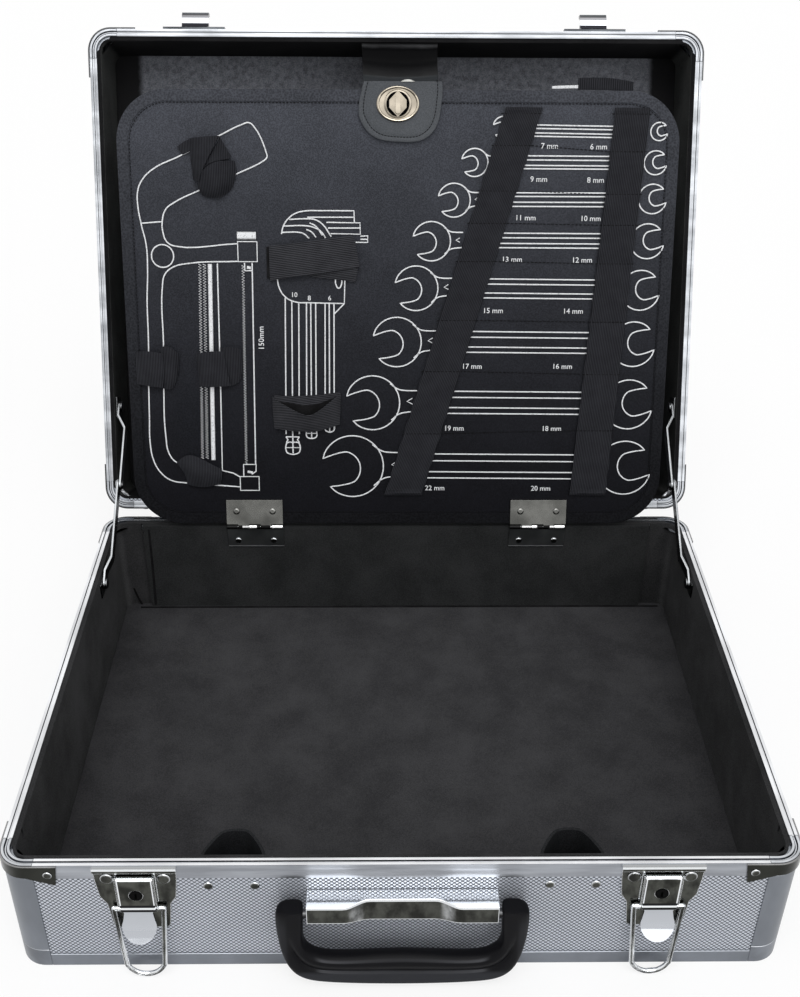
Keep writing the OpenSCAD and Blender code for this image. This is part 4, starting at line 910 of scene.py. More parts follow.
raiseEdge(bpy.data.objects["baseWallLining"], liningLook["baseEdge"], max)
raiseEdge(bpy.data.objects["lidWallLining"], liningLook["lidEdge"], min, lidPlace)
print("linings done")

# Tool board, drawn flat: x across, y up the board, z off its face, all in millimetres

boardLook = {"face": 0.8, "line": 1.05, "inkProud": 0.05, "inkFlat": 0.09, "thread": 0.34, "stitch": 3.0}


def drawFigure(name, runs):
    # runs of (points, width, closed); a point with a third value is a corner
    curve = bpy.data.curves.new(name, "CURVE")
    curve.dimensions, curve.resolution_u = "3D", 5
    curve.bevel_depth, curve.bevel_resolution, curve.use_fill_caps = boardLook["line"] / 2, 1, True
    for points, width, closed in runs:
        run = curve.splines.new("BEZIER")
        run.bezier_points.add(len(points) - 1)
        for knot, spot in zip(run.bezier_points, points):
            knot.co = (spot[0], spot[1], 0)
            knot.radius = width / boardLook["line"]
            kind = "VECTOR" if len(spot) > 2 else "AUTO"
            knot.handle_left_type = knot.handle_right_type = kind
        run.use_cyclic_u = closed
    figure = bpy.data.objects.new(name, curve)
    bpy.context.collection.objects.link(figure)
    pick(figure)
    bpy.ops.object.convert(target="MESH")
    figure = bpy.context.object
    figure.scale = (mm, mm, mm * boardLook["inkFlat"])
    figure.location = (0, 0, (boardLook["face"] + boardLook["inkProud"]) * mm)
    bpy.context.view_layer.update()
    settle(figure, boardPlace)
    coat(figure, printed)
    return figure


def straight(*points, width=None, closed=False):
    return ([(x, y, 1) for x, y in points], width or boardLook["line"], closed)


def flowing(*points, closed=False):
    return (list(points), boardLook["line"], closed)


def arc(x, y, r, start, end, steps=10):
    turns = [math.radians(start + (end - start) * i / steps) for i in range(steps + 1)]
    return [(x + r * math.cos(a), y + r * math.sin(a)) for a in turns]


def zigzag(x0, y0, x1, y1, pitch, reach):
    count = int(abs(y1 - y0) / pitch * 2)
    points = []
    for i in range(count + 1):
        along = i / count
        points.append((x0 + (x1 - x0) * along + (reach if i % 2 else -reach), y0 + (y1 - y0) * along))
    return straight(*points, width=0.6)


def turned(points, x, y, size, angle):
    c, s = math.cos(math.radians(angle)), math.sin(math.radians(angle))
    return [(x + size * (p[0] * c - p[1] * s), y + size * (p[0] * s + p[1] * c), *p[2:]) for p in points]


def openJaw(x, y, size, angle):  # an open spanner end, its jaw towards -x before it is turned
    outer = arc(-0.08, 0, 1.05, 150, -150, 22)
    inner = arc(-0.411, 0, 0.591, -61, 61, 8)
    outline = [(-0.99, 0.5, 1)] + outer[1:-1] + [(-0.99, -0.5, 1), (-0.55, -0.55), (-0.2, -0.54)] + inner + [
        (-0.2, 0.54), (-0.55, 0.55)]
    return (turned(outline, x, y, size, angle), boardLook["line"], True)


# spanner rows from the top: sizes, head centres, the shank's ends and its four lines, places of the labels
spannerRows = [
    (7, 6, (78.1, 299.6), (190.4, 297), (103, 157),
     (301.3, 298.9, 295.8, 293.5), (104.6, 285), (140.6, 284.6)),
    (9, 8, (57.7, 275.2), (188.7, 275.2), (98.5, 155),
     (279.9, 277, 273.2, 270.9), (97.5, 261.7), (139.4, 261.2)),
    (11, 10, (43.1, 248.6), (187.8, 249.6), (90, 152.5),
     (253.9, 251.3, 247.2, 244.2), (87.1, 234.3), (135.5, 233.9)),
    (13, 12, (26.9, 219.2), (185.5, 219.2), (81, 150),
     (225, 221.7, 217.6, 214.5), (77.9, 204.2), (130.4, 203.9)),
    (15, 14, (15.9, 184.9), (182.1, 183.3), (72, 147),
     (191.7, 187.9, 181.3, 177.7), (64.6, 166.5), (125.1, 166.2)),
    (17, 16, (1.7, 144.9), (178.6, 143), (59, 143),
     (152.7, 148.4, 141, 137), (49.4, 124.6), (118.5, 124.6)),
    (19, 18, (-16.6, 98.6), (177.1, 96.9), (43.7, 140),
     (107.3, 102.6, 94.7, 90.2), (36.4, 76.9), (112, 76.7)),
    (22, 20, (-32.1, 49.1), (176.2, 47.2), (28.6, 136.5),
     (58.5, 53.1, 44.4, 39.5), (22.1, 29.7), (105.2, 29.4)),
]


def addLabel(words, x, y, size=5.5, quarter=False):
    bpy.ops.object.text_add(location=(0, 0, 0))
    label = bpy.context.object
    label.data.body, label.data.size = words, size * mm
    label.data.extrude, label.data.offset = 0.03 * mm, 0.035 * mm
    label.data.resolution_u = 3
    bpy.ops.object.convert(target="MESH")
    label = bpy.context.object
    turn = Matrix.Rotation(math.radians(90 if quarter else 0), 4, "Z")
    lift = Matrix.Translation((x * mm, y * mm, (boardLook["face"] + boardLook["inkProud"]) * mm))
    label.matrix_world = world
    settle(label, boardPlace @ lift @ turn)
    coat(label, printed)
    return label


runs, labels = [], []
for leftSize, rightSize, left, right, (x0, x1), levels, leftWord, rightWord in spannerRows:
    runs.append(openJaw(left[0] - 0.6, left[1], leftSize * 1.04, 14))
    runs.append(openJaw(*right, rightSize, 194))
    drop = (left[1] - right[1]) * 0.25
    for level in levels:
        runs.append(straight((x0 - 14, level + drop * 0.2), (x1 + 14, level - drop - 0.3)))
    neck = [(0.62, 0.74), (0.95, 0.5), (1.25, 0.44), (1.7, 0.42)]
    runs.append(flowing(*turned(neck, *left, leftSize, 2)))
    runs.append(flowing(*turned([(x, -y) for x, y in neck], *left, leftSize, 2)))
    if leftSize > 10:
        runs.append(straight(*turned([(1.5, 0.12), (1.28, 0), (1.5, -0.12)], *left, leftSize, 2), width=0.8))
    labels.append(addLabel("%d mm" % leftSize, *leftWord))
    labels.append(addLabel("%d mm" % rightSize, *rightWord))
spannerPrint = joinAll([drawFigure("spannerLines", runs)] + labels, "spannerPrint")
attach(spannerPrint, "board")

sawRuns = [
    (  # back of the frame, grip and lower arm
        [(-122.4, 32.3), (-135.8, 33.3), (-163.9, 35.4), (-176, 37.6), (-183.5, 43.5), (-188.5, 52.6),
         (-190.7, 66), (-190.3, 88), (-189.7, 110.2), (-188.2, 146.7), (-187.8, 174.3), (-186.3, 197.9),
         (-186.4, 215.4), (-189.5, 231.2), (-191.3, 244.9), (-190.9, 253.4), (-188, 260.7), (-179.4, 269.2),
         (-159.5, 278.5), (-130.2, 292.7), (-112.5, 300.9), (-108.2, 302), (-104.6, 299.6), (-95.7, 280.6),
         (-95.4, 278.4), (-97, 276.3), (-117.8, 266.4), (-145.4, 254.8), (-165, 245.7), (-171, 241),
         (-173.8, 232.5), (-173.7, 225.3), (-171, 217.9), (-164.8, 214.8),
         (-118.7, 216.8)], boardLook["line"], False),
    flowing((-119.1, 204), (-157, 202.2), (-167.4, 199.6), (-173.6, 194.4), (-175.8, 186), (-177, 142.9),
            (-178.3, 110.3), (-178.4, 71.7), (-176.3, 58.2), (-170.6, 51.4), (-160, 48.5)),
    straight((-189.5, 231.2), (-173.9, 232.4)),
    flowing(*arc(-174.7, 207.7, 8.2, 0, 330, 11), closed=True),
    straight((-118.7, 218.3), (-104.4, 218.3), (-104.4, 203.8), (-118.7, 203.8), closed=True),
    straight((-119, 222.6), (-105, 222.6), width=5.6),
    zigzag(-147.3, 202, -150.8, 54.8, 2, 1), zigzag(-143.9, 202, -147.2, 54.8, 2, 1.1),
    straight((-139.8, 202), (-142.4, 53.6), width=3.3),
    straight((-134.2, 202.4), (-134.9, 110.3), (-135.8, 45.3), (-127.4, 43.2), (-122.1, 40.2)),
    zigzag(-115.2, 201, -117, 50.1, 2, 0.95), straight((-108.3, 203), (-109.8, 50.1)),
    straight((-114, 203), (-113.8, 197.2), (-108.5, 197.2)),
    straight((-112.3, 199.6), (-109.4, 199.2), width=2.4),
    straight((-119.2, 41), (-119.2, 50.1), (-109.4, 50.1), (-109.6, 44.6), (-113, 42.4)),
    straight((-116.2, 44.4), (-112.2, 43.6), width=2),
    straight((-122.1, 40.5), (-107.4, 40.5), (-107.4, 29.5), (-122.1, 29.5), closed=True),
]
sawPrint = joinAll([drawFigure("sawLines", sawRuns), addLabel("150mm", -101.0, 138.4, 5.9, True)], "sawPrint")
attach(sawPrint, "board")

keyRuns = [
    flowing((-86, 223.8), (-84.6, 229.3), (-81.3, 234.3), (-75.5, 238.6), (-67.9, 240.4), (-58, 240.6),
            (-32.2, 240.6, 1), (-31.9, 232.6, 1)),
    straight((-52.6, 232.3), (-27.8, 232), (-27.5, 223.9), (-49.6, 224.2)),
    straight((-27.5, 222.4), (-22.1, 222.8), (-22.1, 218), (-31.1, 218)),
    straight((-27.5, 220.2), (-22.1, 220.2)),
    straight((-66.7, 235.9), (-32.3, 236)), straight((-51.5, 228.2), (-27.9, 228.3)),
    flowing((-80, 234.3), (-66, 234.8), (-61, 234.2), (-55.3, 230.7), (-49.2, 222)),
    flowing((-84, 229.6), (-66, 229.6), (-62, 228.6), (-56.6, 225.7), (-53.4, 221)),
    flowing((-85.3, 225), (-72.7, 225), (-69.4, 224), (-65.6, 220.7)),
    flowing((-65, 231.9), (-60.5, 229.5), (-55.8, 223)),
    flowing((-67.5, 227.2), (-63.5, 225.2), (-60.5, 221.5)),
    flowing((-89.9, 192), (-88.6, 185), (-84, 178), (-76.7, 174.4), (-66, 173.8),
            (-39.8, 173.3, 1), (-39.3, 191, 1)),
    straight((-39.8, 173.3), (-47.7, 165.3)),
    flowing((-46.3, 192), (-46, 187.2), (-44, 184.6), (-41.9, 187.2), (-41.6, 192)),
    straight((-85.9, 71.8), (-75.3, 71.8)), straight((-85.8, 71.8), (-84.2, 69.6), (-85.6, 67.4)),
    straight((-75.4, 71.8), (-77, 69.6), (-75.4, 67.4)),
    flowing((-80.5, 67.5), (-84.6, 67.3), (-85.7, 65.8), (-85.7, 60.6), (-84.4, 59), (-76.6, 59),
            (-75.3, 60.6), (-75.3, 65.8), (-76.4, 67.3), closed=True),
    flowing((-65.9, 77.8), (-69, 77.4), (-69.9, 75.5), (-69.6, 72), (-68, 70.9), (-63.8, 70.9), (-62.2, 72),
            (-62, 75.5), (-62.9, 77.4), closed=True),
    flowing((-55.5, 82), (-55.3, 77.4), (-53.6, 75.9), (-50.1, 75.9), (-48.5, 77.4), (-48.3, 82)),
    straight((-80.5, 78), (-80.5, 59)), straight((-65.9, 82), (-65.9, 70.9)),
    straight((-51.9, 84), (-51.9, 76)),
    straight((-70, 74.6), (-62, 74.6), width=0.8), straight((-85.7, 63.4), (-75.3, 63.4), width=0.7),
]
for top, bottom, head in zip((-84.2, -79.3, -74.1, -68.3, -65.1, -61.4, -54.3, -51.2, -47.6),
                             (-85.6, -80.5, -75.4, -69.6, -65.9, -62.2, -55.4, -51.9, -48.4),
                             (177.5, 175.2, 174, 173.7, 173.6, 173.5, 173.4, 173.4, 173.4)):
    keyRuns.append(straight((top, head), (bottom, 74 if bottom < -74 else 78)))
keyLabels = [addLabel("10", -79.9, 178, 5), addLabel("8", -67.4, 175.6, 5), addLabel("6", -52.1, 175.6, 5)]
keyPrint = joinAll([drawFigure("keyLines", keyRuns)] + keyLabels, "keyPrint")
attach(keyPrint, "board")
print("board prints done")


# Stitches: one thread loop, arrayed along a run

def stitchAlong(name, points, closed=False, step=None, lift=0.0, bulk=1.0):
    curve = bpy.data.curves.new(name + "Path", "CURVE")
    curve.dimensions, curve.resolution_u = "3D", 8
    run = curve.splines.new("POLY")
    run.points.add(len(points) - 1)
    for knot, spot in zip(run.points, points):
        knot.co = (spot[0] * mm, spot[1] * mm, 0, 1)
    run.use_cyclic_u = closed
    path = bpy.data.objects.new(name + "Path", curve)
    bpy.context.collection.objects.link(path)
    deselect()
    bpy.ops.mesh.primitive_uv_sphere_add(segments=6, ring_count=4, radius=mm)
    piece = bpy.context.object
    piece.name = piece.data.name = name
    pace = step or boardLook["stitch"]
    thick = boardLook["thread"] * bulk
    piece.scale = (pace * 0.42, thick, thick * 0.8)
    bpy.ops.object.transform_apply(location=False, rotation=False, scale=True)
    row = piece.modifiers.new("row", "ARRAY")
    row.fit_type, row.curve = "FIT_CURVE", path
    row.use_relative_offset, row.use_constant_offset = False, True
    row.constant_offset_displace = (pace * mm, 0, 0)
    bend = piece.modifiers.new("bend", "CURVE")
    bend.object, bend.deform_axis = path, "POS_X"
    applyAll(piece)
    bpy.data.objects.remove(path)
    piece.location = (0, 0, (boardLook["face"] + lift) * mm)
    bpy.context.view_layer.update()
    settle(piece, boardPlace)
    coat(piece, thread)
    return piece


def roundedRun(left, right, low, high, radius, steps=8):
    points = []
    for x, y, start in ((right - radius, high - radius, 90), (right - radius, low + radius, 0),
                        (left + radius, low + radius, -90), (left + radius, high - radius, -180)):
        points += arc(x, y, radius, start, start - 90, steps)
    return points


# the board is a little smaller than the CAD's, so that the fold and elastic above its edge stay in sight
boardFit = {"shift": 0.8, "foot": 3.0, "wide": 0.9837, "tall": 0.9787}


def fitted(piece):
    foot = boardFit["foot"] * mm
    shrink = (Matrix.Translation((boardFit["shift"] * mm, foot, 0))
              @ Matrix.Diagonal((boardFit["wide"], boardFit["tall"], 1, 1))
              @ Matrix.Translation((0, -foot, 0)))
    piece.data.transform(boardPlace @ shrink @ boardPlace.inverted())


fitted(softened("board_panel", "boardPanel", 0.4, hide, "board", 2))
fitted(softened("board_binding", "boardBinding", 1.5, tape, "board", 4, 50))

bandLook = {"thick": 0.9, "puff": 1.3, "lift": 0.25, "round": 0.25, "sewn": 3}
bands = [((5, 26, 91.5, 313), (29, 27), "spannerBandLeft"),
         ((149.5, 26, 170.5, 313), (28.2, 25.4), "spannerBandRight")]
seams = [(287, 283), (255, 253), (232, 231), (204.5, 203), (161, 160), (122.5, 120.5), (74.5, 77)]
bandPieces, stitches = [], []


def makeBand(name, path, widths, side, slantMaterial):
    deselect()
    bpy.ops.mesh.primitive_grid_add(x_subdivisions=12, y_subdivisions=150, size=1)
    band = bpy.context.object
    band.name = band.data.name = name
    x0, y0, x1, y1 = path
    marks = [y0 + bandLook["sewn"]] + sorted(s[side] for s in seams) + [y1 - bandLook["sewn"]]
    for vertex in band.data.vertices:
        across, along = vertex.co.x, vertex.co.y + 0.5
        y = y0 + (y1 - y0) * along
        x = x0 + (x1 - x0) * along + across * (widths[0] + (widths[1] - widths[0]) * along)
        below = max([m for m in marks if m <= y], default=y0)
        above = min([m for m in marks if m > y], default=y1)
        swell = math.sin(math.pi * (y - below) / (above - below)) ** 0.45 if above > below else 0
        ripple = math.sin(y * 0.21 + across * 3 + side) * 0.18 + math.sin(y * 0.53 - across * 5) * 0.10
        puff = bandLook["puff"] * (0.75 + 0.25 * math.cos(across * 3)) + ripple
        height = boardLook["face"] + bandLook["lift"] + puff * swell
        edge = math.sin(y * 0.37 + side * 2) * 0.25 * abs(across) * 2
        vertex.co = ((x + edge) * mm, y * mm, height * mm)
    wall = band.modifiers.new("thick", "SOLIDIFY")
    wall.thickness, wall.offset = bandLook["thick"] * mm, 1
    rim = band.modifiers.new("rim", "BEVEL")
    rim.width, rim.segments = bandLook["round"] * mm, 2
    rim.limit_method, rim.angle_limit = "ANGLE", math.radians(60)
    applyAll(band)
    settle(band, boardPlace)
    smooth(band, 45)
    coat(band, slantMaterial)
    return band


for side, (path, widths, name) in enumerate(bands):
    slant = (path[2] - path[0]) / (path[3] - path[1])
    webbing = makeWebbing("elasticBand%d" % side, 1.25, slant, boardPlace)
    bandPieces.append(makeBand(name, path, widths, side, webbing))
spannerBands = joinAll(bandPieces, "spannerBands")
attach(spannerBands, "board")
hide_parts("spanner_bands")

# seams over the bands, with how far each goes to either side of its band's middle, and between the bands
seamLook = {"left": (14.5, 14.5), "right": (13.8, 13.5), "gap": (15, 14.5), "lift": 1.45, "bulk": 1.1,
            "flatLift": 0.05}


def bandMiddle(path, y):
    x0, y0, x1, y1 = path
    return x0 + (x1 - x0) * (y - y0) / (y1 - y0)


for number, (a, b) in enumerate(seams + [(309, 309), (29.5, 29.5)]):
    x0, x1 = bandMiddle(bands[0][0], a), bandMiddle(bands[1][0], b)
    for x, y, (before, after) in ((x0, a, seamLook["left"]), (x1, b, seamLook["right"])):
        stitches.append(stitchAlong("seam", [(x - before, y), (x + after, y)],
                                    lift=seamLook["lift"], bulk=seamLook["bulk"]))
    if number < len(seams):
        ends = [(x0 + seamLook["gap"][0], a), (x1 - seamLook["gap"][1], b)]
        stitches.append(stitchAlong("seam", ends, lift=seamLook["flatLift"]))
rimSeam = {"left": -199.35, "right": 199.35, "low": 12.4, "high": 322.6, "radius": 29}
stitches.append(stitchAlong("rimSeam", roundedRun(**rimSeam), True, 2.6, seamLook["flatLift"]))
fitted(stitches[-1])
boardStitching = joinAll(stitches, "boardStitching")
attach(boardStitching, "board")
print("bands and stitching done")


# Elastic loops on the board, each lying as it was left

def makePatch(name, rows, thick=0.9, levels=3, material=None, place=boardPlace, offset=1):
    # rows of (x, y, height) corners, all rows the same length, joined into a sheet
    width = len(rows[0])
    points = [tuple(c * mm for c in spot) for row in rows for spot in row]
    faces = [(r * width + c, r * width + c + 1, (r + 1) * width + c + 1, (r + 1) * width + c)
             for r in range(len(rows) - 1) for c in range(width - 1)]
    mesh = bpy.data.meshes.new(name)
    mesh.from_pydata(points, [], faces)
    patch = bpy.data.objects.new(name, mesh)
    bpy.context.collection.objects.link(patch)
    editAll(patch)
    bpy.ops.mesh.normals_make_consistent(inside=False)
    leaveEdit()
    if sum(f.normal.z for f in patch.data.polygons) < 0:
        patch.data.flip_normals()
    soft = patch.modifiers.new("soft", "SUBSURF")
    soft.levels = soft.render_levels = levels
    soft.boundary_smooth = "PRESERVE_CORNERS"
    wall = patch.modifiers.new("thick", "SOLIDIFY")
    wall.thickness, wall.offset = thick * mm, offset
    applyAll(patch)
    settle(patch, place)
    smooth(patch, 50)
    coat(patch, material)
    return patch


ribbing = makeWebbing("loopElastic", 1.3, 0.12, boardPlace, 1, "loopLight")
darkRibbing = makeWebbing("loopElasticUpright", 1.2, 0.0, boardPlace, 0)
loops = [
    # broad band over the hex keys, sewn down at its left end, with its lower edge turned under
    makePatch("keyBandUpper", [
        [(-95.2, 215.5, 1.6), (-93, 215.6, 2.2), (-84, 216.2, 4.2), (-64, 219, 5.4), (-44, 221.6, 5),
         (-32.6, 222.8, 2.4)],
        [(-95, 207, 1.6), (-93, 207.5, 2.4), (-84, 208.6, 4.8), (-64, 211, 6), (-44, 213.8, 5.6),
         (-30.8, 215, 2.8)],
        [(-95, 198, 1.6), (-93, 198.5, 2.4), (-84, 199.8, 4.6), (-64, 202.6, 5.8), (-44, 205.4, 5.2),
         (-29.4, 207, 2.8)],
        [(-94.8, 190, 1.6), (-93, 190.6, 2.2), (-84, 192, 3.8), (-64, 195, 5), (-44, 198, 4.4),
         (-28.2, 200.2, 2.4)]],
        material=ribbing),
    makePatch("keyBandUnder", [
        [(-66, 196, 1.2), (-50, 199, 2.4), (-38, 200, 2.4), (-29.5, 199.5, 1.6)],
        [(-65, 193.8, 1.1), (-50, 194.4, 2), (-38, 193.8, 2), (-30.4, 192.6, 1.4)],
        [(-63, 192.6, 0.9), (-50, 191.8, 1.2), (-38, 190.4, 1.2), (-31.8, 189, 1)]], material=ribbing),
    # narrower band over the keys' ends, sagging open at the top
    makePatch("keyBandLower", [
        [(-95, 102.5, 1), (-92, 100.5, 4), (-83, 96, 8), (-72, 90.5, 10.5), (-66, 89.2, 9), (-58, 94.5, 10),
         (-48, 102.6, 6), (-43.6, 105.6, 1.4)],
        [(-95, 96, 1), (-91.5, 94.6, 4.2), (-83, 91, 7.6), (-72, 86.6, 8.6), (-67, 84.6, 6.6),
         (-59, 89, 8.6), (-48, 96, 5.8), (-43.8, 98.4, 1.4)],
        [(-94.6, 87, 1), (-91, 86.2, 3.6), (-83, 84, 6.4), (-72, 81.6, 7.2), (-66, 81, 6), (-58, 83.2, 6.8),
         (-48.4, 88.4, 4.8), (-44.2, 89.8, 1.2)],
        [(-94, 78.8, 1), (-91, 78.4, 2.6), (-83, 77.6, 4), (-72, 76.8, 4.4), (-65, 76.6, 3.8),
         (-58, 78, 4.2), (-48.8, 80.6, 2.8), (-44.6, 81.4, 1)]], material=ribbing),
    makePatch("keyBandBack", [
        [(-94, 104, 0.9), (-80, 103.4, 1.2), (-62, 104.2, 1.2), (-43.4, 106.8, 0.9)],
        [(-94, 92, 0.9), (-80, 92, 1), (-62, 92, 1), (-43.6, 93, 0.9)],
        [(-94, 80, 0.9), (-80, 80, 1), (-62, 80, 1), (-44, 82, 0.9)]], material=ribbing),
    makePatch("keyBandShade", [
        [(-92, 99.4, 1.6), (-80, 98.4, 2.2), (-66, 94.6, 2.2), (-46.4, 103.4, 1.6)],
        [(-92, 92, 1.6), (-80, 88, 2.2), (-66, 84, 2.2), (-46.4, 92, 1.6)]], 0.4, 2, thread),
    # a black strip of painted shade along the broad band's sewn left end
    makePatch("keyBandEdgeShade", [
        [(-97.4, 214.6, 0.95), (-95, 214.6, 1.3)],
        [(-97.4, 191.4, 0.95), (-95, 191.4, 1.3)]], 0.3, 1, thread),
    # loop over the saw's grip, crumpled
    makePatch("gripLoopEnd", [
        [(-160.4, 285.2, 0.9), (-155, 289.2, 1.4), (-149.6, 290.6, 2.6)],
        [(-156.6, 279.6, 0.9), (-152.4, 281.6, 1.6), (-149.4, 282.6, 3.4)]], levels=2, material=darkRibbing),
    makePatch("gripLoopLeft", [
        [(-151, 290.8, 1.6), (-144, 291.6, 4.8), (-136.4, 292, 7.2), (-128.8, 292.2, 8)],
        [(-150.8, 282, 2.4), (-145, 281.4, 6.2), (-140, 281, 8.6), (-134.8, 281.4, 10)],
        [(-149.4, 270, 2), (-146.6, 269.6, 5.8), (-143.6, 269.6, 8.6), (-140.6, 270, 10.4)],
        [(-148.8, 262.2, 1.2), (-147.2, 261.6, 4.2), (-145.8, 261.2, 7), (-144.4, 261, 9)]],
        levels=2, material=darkRibbing),
    makePatch("gripLoopFacet", [
        [(-128.6, 291.8, 7), (-125.6, 286, 4.4), (-121.6, 278.6, 2)],
        [(-134.6, 281, 7), (-130.6, 279.8, 5.2), (-124, 276, 4)],
        [(-141, 269.4, 8.6), (-136.4, 273.4, 11), (-129, 275, 8.4)]], levels=2, material=darkRibbing),
    makePatch("gripLoopRoll", [
        [(-144.2, 265.4, 8.6), (-136.2, 273.6, 11.2), (-128, 275.2, 8.6), (-119.6, 275.4, 2)],
        [(-145.6, 259.6, 6), (-136.8, 264, 12), (-127, 266, 10.6), (-117.8, 270, 1.6)],
        [(-144.8, 254.2, 3.2), (-136.6, 254, 9), (-126.8, 256.2, 8.6), (-119.4, 262.6, 1.4)],
        [(-142.4, 251.2, 1), (-136.4, 249.6, 2.4), (-128, 250.6, 2.4), (-122.2, 256.4, 1)]],
        levels=2, material=darkRibbing),
    # two small loops over the frame and the spare blades
    makePatch("frameLoop", [
        [(-197.4, 137.2, 1.2), (-190, 138, 4.6), (-182, 137.2, 5.4), (-177.6, 136, 4.6)],
        [(-197.8, 128, 1.4), (-190, 128.4, 5.4), (-182, 128.2, 6.4), (-177.2, 127.6, 5.4)],
        [(-197.8, 119, 1.4), (-190, 119.2, 5.2), (-182, 118.8, 6.2), (-177.2, 118.4, 5.2)],
        [(-197.6, 112.6, 1.2), (-190, 111.8, 4.4), (-182, 110.8, 5.2), (-178, 110.4, 4.4)]],
        material=darkRibbing),
    makePatch("frameLoopFold", [
        [(-179.5, 140, 1.4), (-174, 142.6, 4.4), (-168.6, 139.4, 4.8), (-166, 134.6, 1.2)],
        [(-178.5, 130, 3.6), (-173, 131, 2.2), (-169.4, 128, 5.2), (-166.6, 124.6, 1.2)],
        [(-178.5, 118, 3.6), (-174, 118, 4.4), (-171, 116.6, 3), (-168.4, 115, 1)],
        [(-179.5, 109.6, 1.2), (-176, 109.2, 2.4), (-173.6, 108.6, 2.2), (-171.6, 109.6, 1)]],
        levels=2, material=darkRibbing),
    makePatch("bladeLoop", [
        [(-152, 135.8, 1.2), (-146, 137, 4.8), (-138, 138.2, 5.2), (-131.6, 137.6, 4.4)],
        [(-151.4, 127.2, 1.4), (-146, 128, 5.6), (-137.4, 128.8, 6.2), (-130, 128.6, 5.2)],
        [(-150.8, 119, 1.4), (-145, 119.2, 5.4), (-136.6, 119.8, 6), (-128.4, 119.6, 5.2)],
        [(-150.2, 110.8, 1.2), (-145, 110.6, 4.6), (-136, 111.2, 5), (-126.8, 111.8, 4.2)]],
        material=darkRibbing),
    makePatch("bladeLoopFold", [
        [(-133.6, 139.8, 1.2), (-126.4, 141.6, 4), (-120.4, 140.4, 3.6), (-117.6, 137.6, 1)],
        [(-131.4, 131, 3.8), (-126.4, 130.6, 2.6), (-121.6, 128.6, 5), (-118.4, 126, 1)],
        [(-129.6, 121, 3.8), (-125.6, 120.6, 4.6), (-122, 119, 2.6), (-119.6, 117.4, 1)],
        [(-128.2, 111, 1.2), (-125.2, 112, 2.6), (-122.8, 113.2, 2), (-121, 114.4, 1)]],
        levels=2, material=darkRibbing),
    # dark crumpled loop over the saw's lower arm
    makePatch("armLoop", [
        [(-170.6, 51.6, 1), (-162.8, 59, 2.4), (-152.6, 56.4, 3.8), (-144.6, 51, 4.6), (-136.6, 46.6, 1.4)],
        [(-167.8, 48, 2), (-161, 51.2, 6.4), (-153, 49.4, 5.6), (-145, 46, 7.4), (-136, 42.6, 2)],
        [(-163.6, 43, 1.6), (-159.4, 43.4, 5.4), (-152.4, 41.6, 7.8), (-145, 40.6, 6.4), (-136.6, 38.8, 2)],
        [(-163, 34.6, 1), (-158, 33.6, 2), (-151.4, 32.6, 2.8), (-144.4, 33.6, 2.8), (-137.8, 35, 1)]],
        levels=2, material=darkRibbing),
]
boardLoops = joinAll(loops, "boardLoops")
standIn(boardLoops, "board_loops", "board")
print("loops done")


# Strap: a stitched tab on the board, a web to the lid and a patch on the lid's wall

strapLook = {"middle": 1.9, "thick": 1.9, "groove": 0.35, "halfWide": 29, "tall": 44,
             "stitchIn": (0.885, 0.925)}
tabTop = 330.5
tabRun = [(31.6, tabTop), (32.2, 324.5), (31.2, 314), (29.5, 303.9), (24.8, 295.3), (15.7, 289.9),
          (2, 289.2), (-12, 290.6), (-20.6, 295), (-26.3, 302.6), (-28.4, 309.5), (-27.2, 320),
          (-24.4, tabTop)]


def makeTab():
    tab = outlined("strapTab", smoothRun(tabRun), 0)
    editAll()
    pull(z=strapLook["thick"])
    middle = (strapLook["middle"] * mm, tabTop * mm, 0)  # the top edge stays where it is
    groove = strapLook["groove"]
    for shrink, rise in ((0.5, 0.25), (2.4, 0.1), (0.5, -groove), (0.5, groove), (3, 0.2)):
        pull(z=rise)
        narrower, shorter = 1 - shrink / strapLook["halfWide"], 1 - shrink / strapLook["tall"]
        bpy.ops.transform.resize(value=(narrower, shorter, 1), center_override=middle)
    leaveEdit()
    tab.location = (0, 0, (boardLook["face"] + 0.1) * mm)
    bpy.context.view_layer.update()
    settle(tab, boardPlace)
    smooth(tab, 50)
    coat(tab, strapHide)
    return tab


strapTab = makeTab()
narrow, short = strapLook["stitchIn"]
inset = [(x * narrow + 0.2, tabTop + (y - tabTop) * short) for x, y in tabRun]
tabStitching = stitchAlong("tabStitching", smoothRun(inset), step=2.3, lift=strapLook["thick"] + 0.3)
standIn(strapTab, "strap_tab", "board")
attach(tabStitching, "board")


def strip(name, profile, widths, thick, material, crown=0.0):
    # a strap through (y, z) points in the world, soft across its width
    spots = smoothRun(profile, 5)
    count = len(spots)
    rows = []
    for i, (y, z) in enumerate(spots):
        half = (widths[0] + (widths[1] - widths[0]) * i / (count - 1)) / 2
        row = []
        for k in range(9):
            side = k / 4 - 1
            sag = crown * (1 - side * side) * math.sin(math.pi * i / (count - 1))
            row.append((strapLook["middle"] + side * half, y, z - sag))
        rows.append(row)
    return makePatch(name, rows, thick, 1, material, world)


# Turn lock plate: an oval with a raised rim, a grained ring and a well for the knob, painted black as shade
lockLook = {"centre": (0, 315), "foot": 2.4, "shadedWell": 8.3}
lockRings = [(15.1, 11.9, 0), (15.5, 12.3, 0.7), (15.3, 12.1, 1.3), (14.6, 11.5, 1.65), (13.9, 10.9, 1.5),
             (13.5, 10.6, 1.05), (10.2, 9.9, 1.05), (9.6, 9.5, 1.6), (8.4, 8.6, 1.7), (7.9, 8.2, 0.5),
             (6, 6.2, 0.4)]


